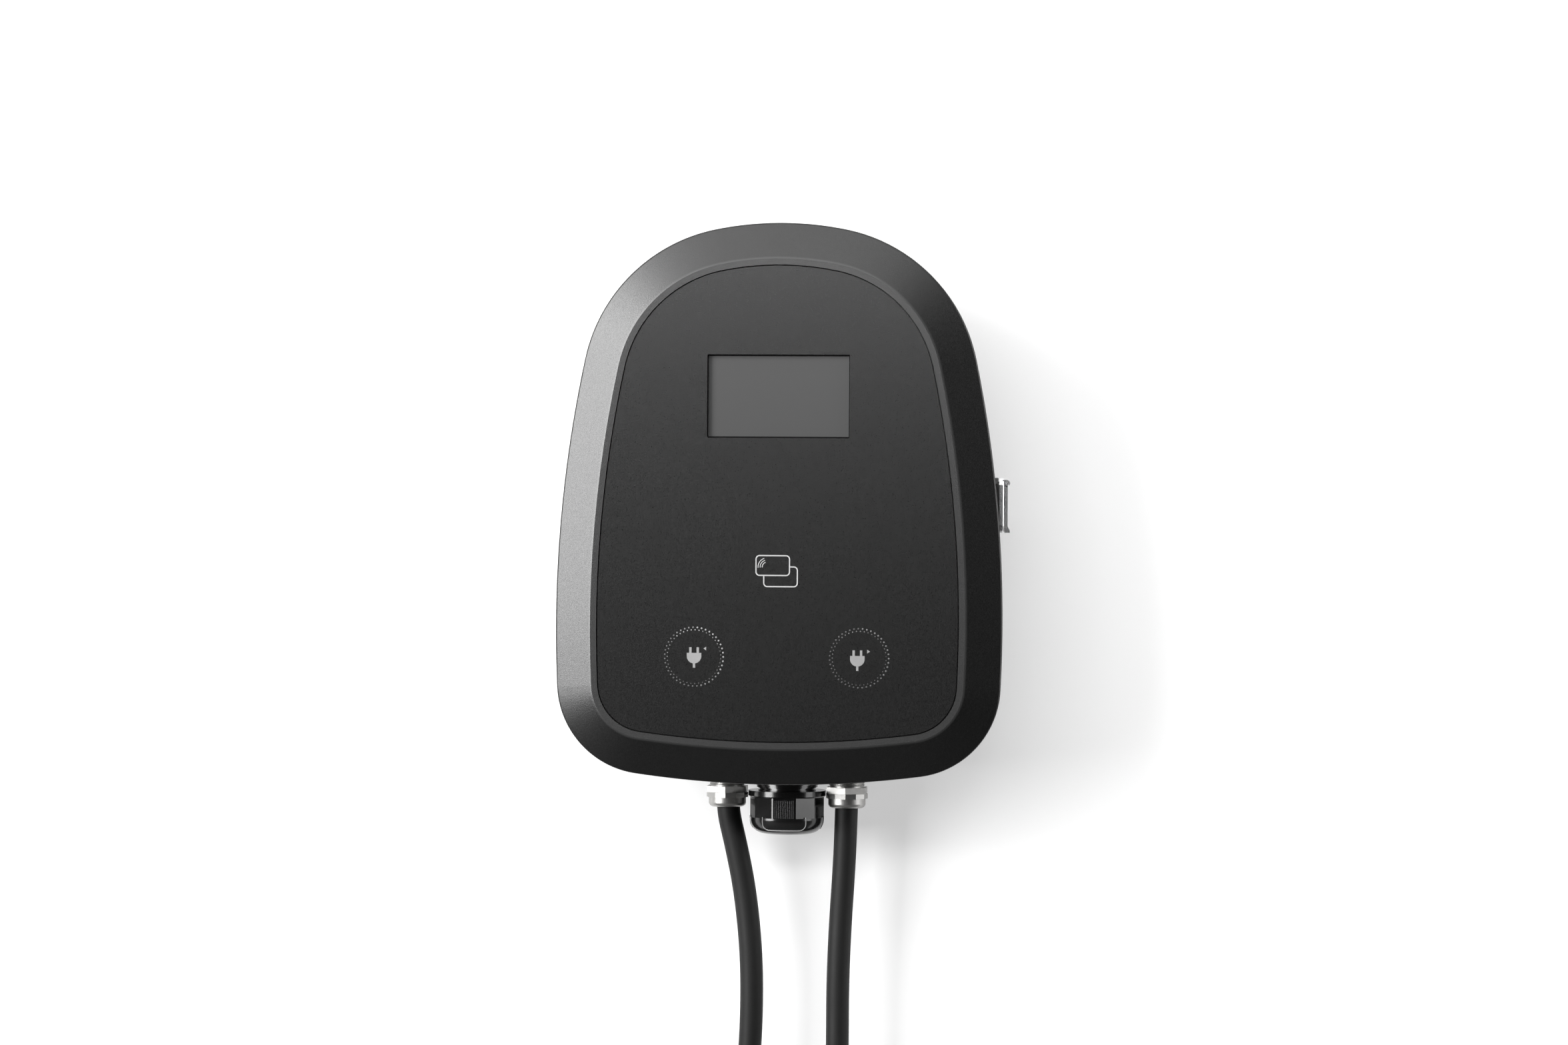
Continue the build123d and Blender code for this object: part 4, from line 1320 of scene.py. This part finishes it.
@dataclass
class Markings:
    """White marks printed on the panel: a card symbol and one mark in each lamp ring.

    Attributes:
        ink: thickness of the print, in millimetres.
        stroke: width of the card's outline, in millimetres.
    """

    ink: float = 0.06
    stroke: float = 0.8
    card: Flat = (22.6, 13.3)
    corner: float = 2.4
    overlap: Flat = (5.3, -7.5)
    reader: Flat = (-0.3, -45.3)
    shift: dict[str, Flat] = field(
        default_factory=lambda: {"left": (0.0, 0.0), "right": (-1.3, -1.0)}
    )

    @property
    def surface(self) -> float:
        """Distance of the panel's face from the wall, in millimetres."""
        return -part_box("front_panel")[0].y / MM

    def arc(self, centre: Flat, radius: float, start: float, end: float, steps: int = 12) -> list[Flat]:
        """Points along an arc, in millimetres and degrees.

        Args:
            centre: the arc's centre.
            radius: its radius.
            start: the angle that it starts at.
            end: the angle that it ends at.
            steps: how many parts it is cut into.

        Returns:
            The points, in order.
        """
        made = []
        for step in range(steps + 1):
            angle = math.radians(start + (end - start) * step / steps)
            made.append((centre[0] + radius * math.cos(angle), centre[1] + radius * math.sin(angle)))
        return made

    def card_outline(self, left: float, top: float) -> list[Flat]:
        """The middle line of a card's rounded outline, clockwise from its upper left.

        Args:
            left: the card's left edge.
            top: the card's upper edge.

        Returns:
            The points, in order.
        """
        width, height, r = *self.card, self.corner
        right, low = left + width, top - height
        return (
            self.arc((left + r, top - r), r, 180, 90)
            + self.arc((right - r, top - r), r, 90, 0)
            + self.arc((right - r, low + r), r, 0, -90)
            + self.arc((left + r, low + r), r, -90, -180)
        )

    def reader_mark(self) -> None:
        """Two overlapping cards, the front one with three radio arcs."""
        dx, dz = self.overlap
        left = self.reader[0] - (self.card[0] + dx) / 2
        top = self.reader[1] + (self.card[1] - dz) / 2
        piece = Piece()
        piece.ribbon(self.card_outline(left, top), self.stroke, self.surface, self.ink, True)
        hidden = self.card_outline(left + dx, top + dz)
        front_right, front_low = left + self.card[0], top - self.card[1]
        gap = self.stroke * 0.5
        shown = [
            (x, z) for x, z in self.dense(hidden)
            if x > front_right + gap or z < front_low - gap
        ]
        start = max(range(len(shown)), key=lambda i: math.dist(shown[i], shown[i - 1]))
        piece.ribbon(shown[start:] + shown[:start], self.stroke, self.surface, self.ink, False)
        centre = (left + 7.4, top - 7.6)
        for radius in (6.0, 4.6, 3.2):
            piece.ribbon(self.arc(centre, radius, 108, 186), 0.5, self.surface, self.ink, False)
        piece.place("reader_mark", INK, "door")

    @staticmethod
    def dense(line: Sequence[Flat], gap: float = 0.25) -> list[Flat]:
        """The closed line with points at most a small gap apart.

        Args:
            line: the line's points.
            gap: the widest gap between two points.

        Returns:
            The points, in order.
        """
        made = []
        for index, start in enumerate(line):
            end = line[(index + 1) % len(line)]
            parts = max(1, math.ceil(math.dist(start, end) / gap))
            for part in range(parts):
                share = part / parts
                made.append(tuple(a + (b - a) * share for a, b in zip(start, end)))
        return made

    def plug_mark(self, side: str, centre: Flat) -> None:
        """A small plug with a lightning flash below it, and a pointer to its own side.

        Args:
            side: left or right.
            centre: the mark's middle, in millimetres.
        """
        x, z = centre
        piece = Piece()
        body = (
            self.arc((x, z + 0.4), 4.9, 180, 360, 20)
            + [(x + 4.9, z + 2.6), (x - 4.9, z + 2.6)]
        )
        piece.patch(body, self.surface, self.ink)
        for offset in (-2.5, 2.5):
            piece.ribbon(
                [(x + offset, z + 2.6), (x + offset, z + 6.4)], 1.6, self.surface, self.ink, False
            )
        piece.ribbon([(x, z - 4.4), (x, z - 7.4)], 1.6, self.surface, self.ink, False)
        way = -1 if side == "left" else 1
        middle = x + 7.4
        piece.patch(
            [(middle + way * 1.1, z + 5.6), (middle - way * 0.8, z + 6.9), (middle - way * 0.8, z + 4.3)],
            self.surface, self.ink,
        )
        piece.place(f"plug_mark_{side}", SILVER_INK, "door")

    def build(self) -> None:
        """Prints every mark."""
        self.reader_mark()
        for side in SIDES:
            low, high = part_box(f"light_guide_{side}")
            middle = (low + high) / (2 * MM)
            shift = self.shift[side]
            self.plug_mark(side, (middle.x + shift[0], middle.z + shift[1]))


@dataclass
class LampRings:
    """Two rings of lamp dots set in the panel.

    Attributes:
        count: dots in each circle.
        circles: radius, dot radius, offset in steps and brightest direction of each circle,
            in millimetres and degrees.
        rise: how far each dot stands out, in millimetres.
        shine: how bright each side's dots are on the whole.
    """

    count: int = 43
    circles: tuple[tuple[float, float, float, float], ...] = (
        (19.8, 0.6, 0.0, 25.0), (18.1, 0.45, 0.5, 105.0)
    )
    rise: float = 0.2
    shine: dict[str, float] = field(default_factory=lambda: {"left": 0.75, "right": 0.1})

    def level(self, side: str, angle: float, bright: float) -> LampLevel:
        """How bright the dot at this angle is.

        Args:
            side: left or right.
            angle: where the dot is, in degrees.
            bright: where its circle is brightest, in degrees.

        Returns:
            The dot's level.
        """
        near = math.cos(math.radians(angle - bright)) + self.shine[side] - (0.4 if bright > 90 else 0)
        if near > 1.25:
            return LampLevel.BRIGHT
        if near > 0.55:
            return LampLevel.MIDDLE
        return LampLevel.DIM if near > -0.4 else LampLevel.FAINT

    def build(self) -> None:
        """Makes the dots and dresses the guides behind them."""
        surface = -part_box("front_panel")[0].y / MM
        for side in SIDES:
            low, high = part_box(f"light_guide_{side}")
            middle = (low + high) / (2 * MM)
            pieces = {level: Piece() for level in LampLevel}
            used = set()
            for radius, dot, offset, bright in self.circles:
                for index in range(self.count):
                    angle = 360 * (index + offset) / self.count
                    level = self.level(side, angle, bright)
                    used.add(level)
                    a = math.radians(angle)
                    spot = millimetres(
                        middle.x + radius * math.cos(a), -surface, middle.z + radius * math.sin(a)
                    )
                    pieces[level].dome(spot, Vector((0, -1, 0)), dot * MM, self.rise * MM)
            for level, piece in pieces.items():
                if level in used:
                    piece.place(
                        f"lamp_dots_{side}_{level.name.lower()}", level.value, "door", "light_plastic"
                    )
            dress(f"light_guide_{side}", CLEAR_MOULDING)
        dress("light_boards", BOARD)


@dataclass
class SideLock:
    """The chromed lock on the door's right side."""

    def build(self) -> None:
        """Dresses the lock."""
        for node in ("lock_body", "lock_flap", "lock_nut", "lock_cylinder"):
            dress(node, CHROME)
        for node in ("lock_cam", "cam_screw", "flap_pin"):
            dress(node, STEEL)
        dress("lock_gasket", RUBBER)


@dataclass
class Glands:
    """The two plated cable glands and the large nylon one between them, in millimetres.

    Attributes:
        pitch: distance of each cable gland from the middle.
        depth: distance of the glands' middles from the wall.
        thread_top: height at which the visible thread starts.
        ridges: how many ridges the thread shows.
        ridge: distance from one ridge to the next.
        thread_radii: radii of the thread's root and crest.
        dome_top: height at which the nylon cap's rounded end begins.
        dome: radius of that rounding.
        dome_middle: distance of the rounding's centre from the cap's axis.
        rim: half the width, the drop and the corner radius of each raised line.
        bead_radius: thickness of that line, as a radius.
    """

    pitch: float = 41.5
    depth: float = 34.0
    thread_top: float = -187.0
    ridges: int = 5
    ridge: float = 1.5
    thread_radii: Flat = (11.65, 12.35)
    dome_top: float = -217.4
    dome: float = 10.0
    dome_middle: float = 15.6
    rim: Point = (14.9, 6.8, 4.6)
    bead_radius: float = 0.42

    def threads(self, side: str, x: float) -> None:
        """The visible thread between a gland's collar and its hexagon.

        Args:
            side: left or right.
            x: the gland's middle, in millimetres.
        """
        piece = Piece()
        base = millimetres(x, -self.depth, self.thread_top)
        profile = []
        root, crest = self.thread_radii
        for index in range(self.ridges):
            along = -self.ridge * index
            profile += [
                (along * MM, root * MM), ((along - 0.45) * MM, crest * MM),
                ((along - 0.7) * MM, crest * MM), ((along - 1.2) * MM, root * MM),
            ]
        piece.lathe(profile, base, Vector((0, 0, 1)), 48)
        piece.place(f"gland_thread_{side}", NICKEL, "housing", "nickel")

    def painted_highlight_cap_rims(self) -> None:
        """Thin raised lines on the nylon cap where its grip flats run into the dome, painted pale grey as
        a highlight along their edges.
        """
        piece = Piece()
        half, drop, corner = self.rim
        path: list[Flat] = [(-half, 2.2), (-half, 0.0)]
        for step in range(9):
            angle = math.radians(180 + 90 * step / 8)
            across = -half + corner + corner * math.cos(angle)
            path.append((across, -drop + corner + corner * math.sin(angle)))
        mirrored = [(-x, z) for x, z in reversed(path)]
        path += [(2.0 * step, -drop) for step in range(-4, 5)] + mirrored
        for turn in range(0, 360, 120):
            spin = Matrix.Rotation(math.radians(turn), 3, "Z")
            rings = []
            for x, rise in path:
                z = self.dome_top + rise
                sunk = max(0.0, -rise)
                radius = self.dome_middle + math.sqrt(max(0.0, self.dome**2 - sunk**2))
                local = Vector((x, -math.sqrt(max(1.0, radius**2 - x**2)), 0))
                rings.append((spin @ local, z, spin @ local.normalized()))
            self.bead(piece, rings)
        # The lines' pale grey is a painted highlight, not the nylon's colour.
        piece.place("painted_highlight_cap_rims", NYLON_PAINTED_HIGHLIGHT, "housing", "black_nylon")

    def bead(self, piece: Piece, line: Sequence[tuple[Vector, float, Vector]]) -> None:
        """Adds a round bead along a line on the cap, in millimetres.

        Args:
            piece: the piece to add to.
            line: each point's place across, its height and the way out of the surface.
        """
        centre = Vector((0, -self.depth, 0))
        points = [centre + Vector((flat.x, flat.y, z)) for flat, z, _ in line]
        sides = 8
        rings = []
        for index, point in enumerate(points):
            along = (points[min(index + 1, len(points) - 1)] - points[max(index - 1, 0)]).normalized()
            out = line[index][2]
            side = along.cross(out).normalized()
            ring = []
            for step in range(sides):
                angle = 2 * math.pi * step / sides
                spot = point + (out * math.cos(angle) + side * math.sin(angle)) * self.bead_radius
                ring.append(piece.mesh.verts.new(spot * MM))
            rings.append(ring)
        for first, second in zip(rings, rings[1:]):
            for step in range(sides):
                after = (step + 1) % sides
                piece.mesh.faces.new((first[step], first[after], second[after], second[step]))
        piece.mesh.faces.new(list(reversed(rings[0])))
        piece.mesh.faces.new(rings[-1])

    def build(self) -> None:
        """Dresses the glands and adds their finer details."""
        for side, x in zip(SIDES, (-self.pitch, self.pitch)):
            dress(f"gland_body_{side}", NICKEL)
            dress(f"gland_cap_{side}", NICKEL)
            self.threads(side, x)
        self.painted_highlight_cap_rims()
        dress("gland_locknuts", NICKEL)
        dress("gland_seals", RUBBER)
        for node in ("mains_gland_body", "mains_gland_cap", "mains_gland_locknut"):
            dress(node, NYLON)
        dress("mains_gland_plug", DARK_MOULDING)


@dataclass
class Electronics:
    """What the housing and the door hold: boards, switching and supply."""

    def power_parts(self) -> None:
        """Capacitors, coils and terminals on the power board."""
        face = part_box("power_board")[0].y
        cans, blocks = Piece(), Piece()
        can_spots = ((-74, -40, 5, 20), (-74, 8, 6, 24), (74, -40, 5, 20), (0, -48, 6, 22))
        block_spots = (
            (0, 10, 20, 14, 12), (0, -10, 14, 20, 16), (-60, -55, 24, 8, 10), (60, -55, 24, 8, 10)
        )
        for x, z, radius, tall in can_spots:
            base = millimetres(x, 0, z)
            base.y = face
            cans.rod(base, base + millimetres(0, -tall, 0), radius * MM, 0.0008)
        for x, z, w, h, tall in block_spots:
            corner = Vector((x - w / 2, 0, z - h / 2)) * MM
            far = Vector((x + w / 2, 0, z + h / 2)) * MM
            corner.y, far.y = face - tall * MM, face
            blocks.bar(corner, far, 0.0006)
        cans.place("power_capacitors", CAN, "housing")
        blocks.place("power_blocks", CHIP, "housing")

    def screws(self) -> None:
        """Terminal screws sunk in the terminal block and the contactors."""
        piece = Piece()
        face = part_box("terminal_block")[0].y
        for column in range(5):
            for row in (-10, 10):
                spot = millimetres(-15.2 + 7.6 * column, 0, -88 + row)
                spot.y = face + 0.0072
                piece.rod(spot, spot + millimetres(0, -2.2, 0), 2.1 * MM)
        for side in SIDES:
            low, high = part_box(f"contactor_{side}")
            x = (low.x + high.x) / (2 * MM)
            z = (low.z + high.z) / (2 * MM)
            for column in range(4):
                for row in (-25, 25):
                    spot = millimetres(x - 15 + 10 * column, -53.1 + 8, z + row)
                    piece.rod(spot, spot + millimetres(0, -2.5, 0), 2.4 * MM)
        piece.place("terminal_screws", STEEL, "housing")

    def control_parts(self) -> None:
        """Chips and sockets on the back of the control board and the reader board."""
        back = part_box("control_board")[1].y - 4 * MM
        piece = Piece()
        chip_spots = (
            (-52, 40, 10, 10), (10, 82, 18, 7), (-10, 50, 8, 12), (50, 66, 12, 12), (-55, 90, 14, 6)
        )
        for x, z, w, h in chip_spots:
            corner, far = millimetres(x, 0, z), millimetres(x + w, 0, z + h)
            corner.y, far.y = back, back + 0.0022
            piece.bar(corner, far, 0.0003)
        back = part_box("reader_board")[1].y
        for x, z, w, h in ((-12, -52, 12, 12), (8, -50, 16, 6)):
            corner, far = millimetres(x, 0, z), millimetres(x + w, 0, z + h)
            corner.y, far.y = back, back + 0.002
            piece.bar(corner, far, 0.0003)
        piece.place("control_chips", CHIP, "door")

    def build(self) -> None:
        """Dresses the inner pieces and adds what stands on them."""
        for node in ("power_board", "control_board", "reader_board"):
            dress(node, BOARD)
        for node in ("breakers", "terminal_block", "power_supply"):
            dress(node, PALE_MOULDING)
        for node in ("breaker_levers", "current_sensors"):
            dress(node, DARK_MOULDING)
        for side in SIDES:
            dress(f"contactor_{side}", DARK_MOULDING)
        for node in ("mounting_plate", "din_rail"):
            dress(node, ZINC)
        for node in ("plate_screws", "board_spacers"):
            dress(node, STEEL)
        self.power_parts()
        self.screws()
        self.control_parts()


def corners(box: tuple[Vector, Vector]) -> list[list[float]]:
    """A box as plain lists of numbers."""
    return [list(corner) for corner in box]


def main() -> None:
    """Builds everything in order."""
    logging.basicConfig(level=logging.INFO, format="%(name)s: %(message)s")
    Viewpoint().build()
    Cables().build()
    Studio().build()
    Casing().build()
    Display().build()
    Markings().build()
    LampRings().build()
    SideLock().build()
    Glands().build()
    Electronics().build()
    {"cad": corners(CAD_BOX), "visual": corners(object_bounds())}


if __name__ == "__main__":
    main()
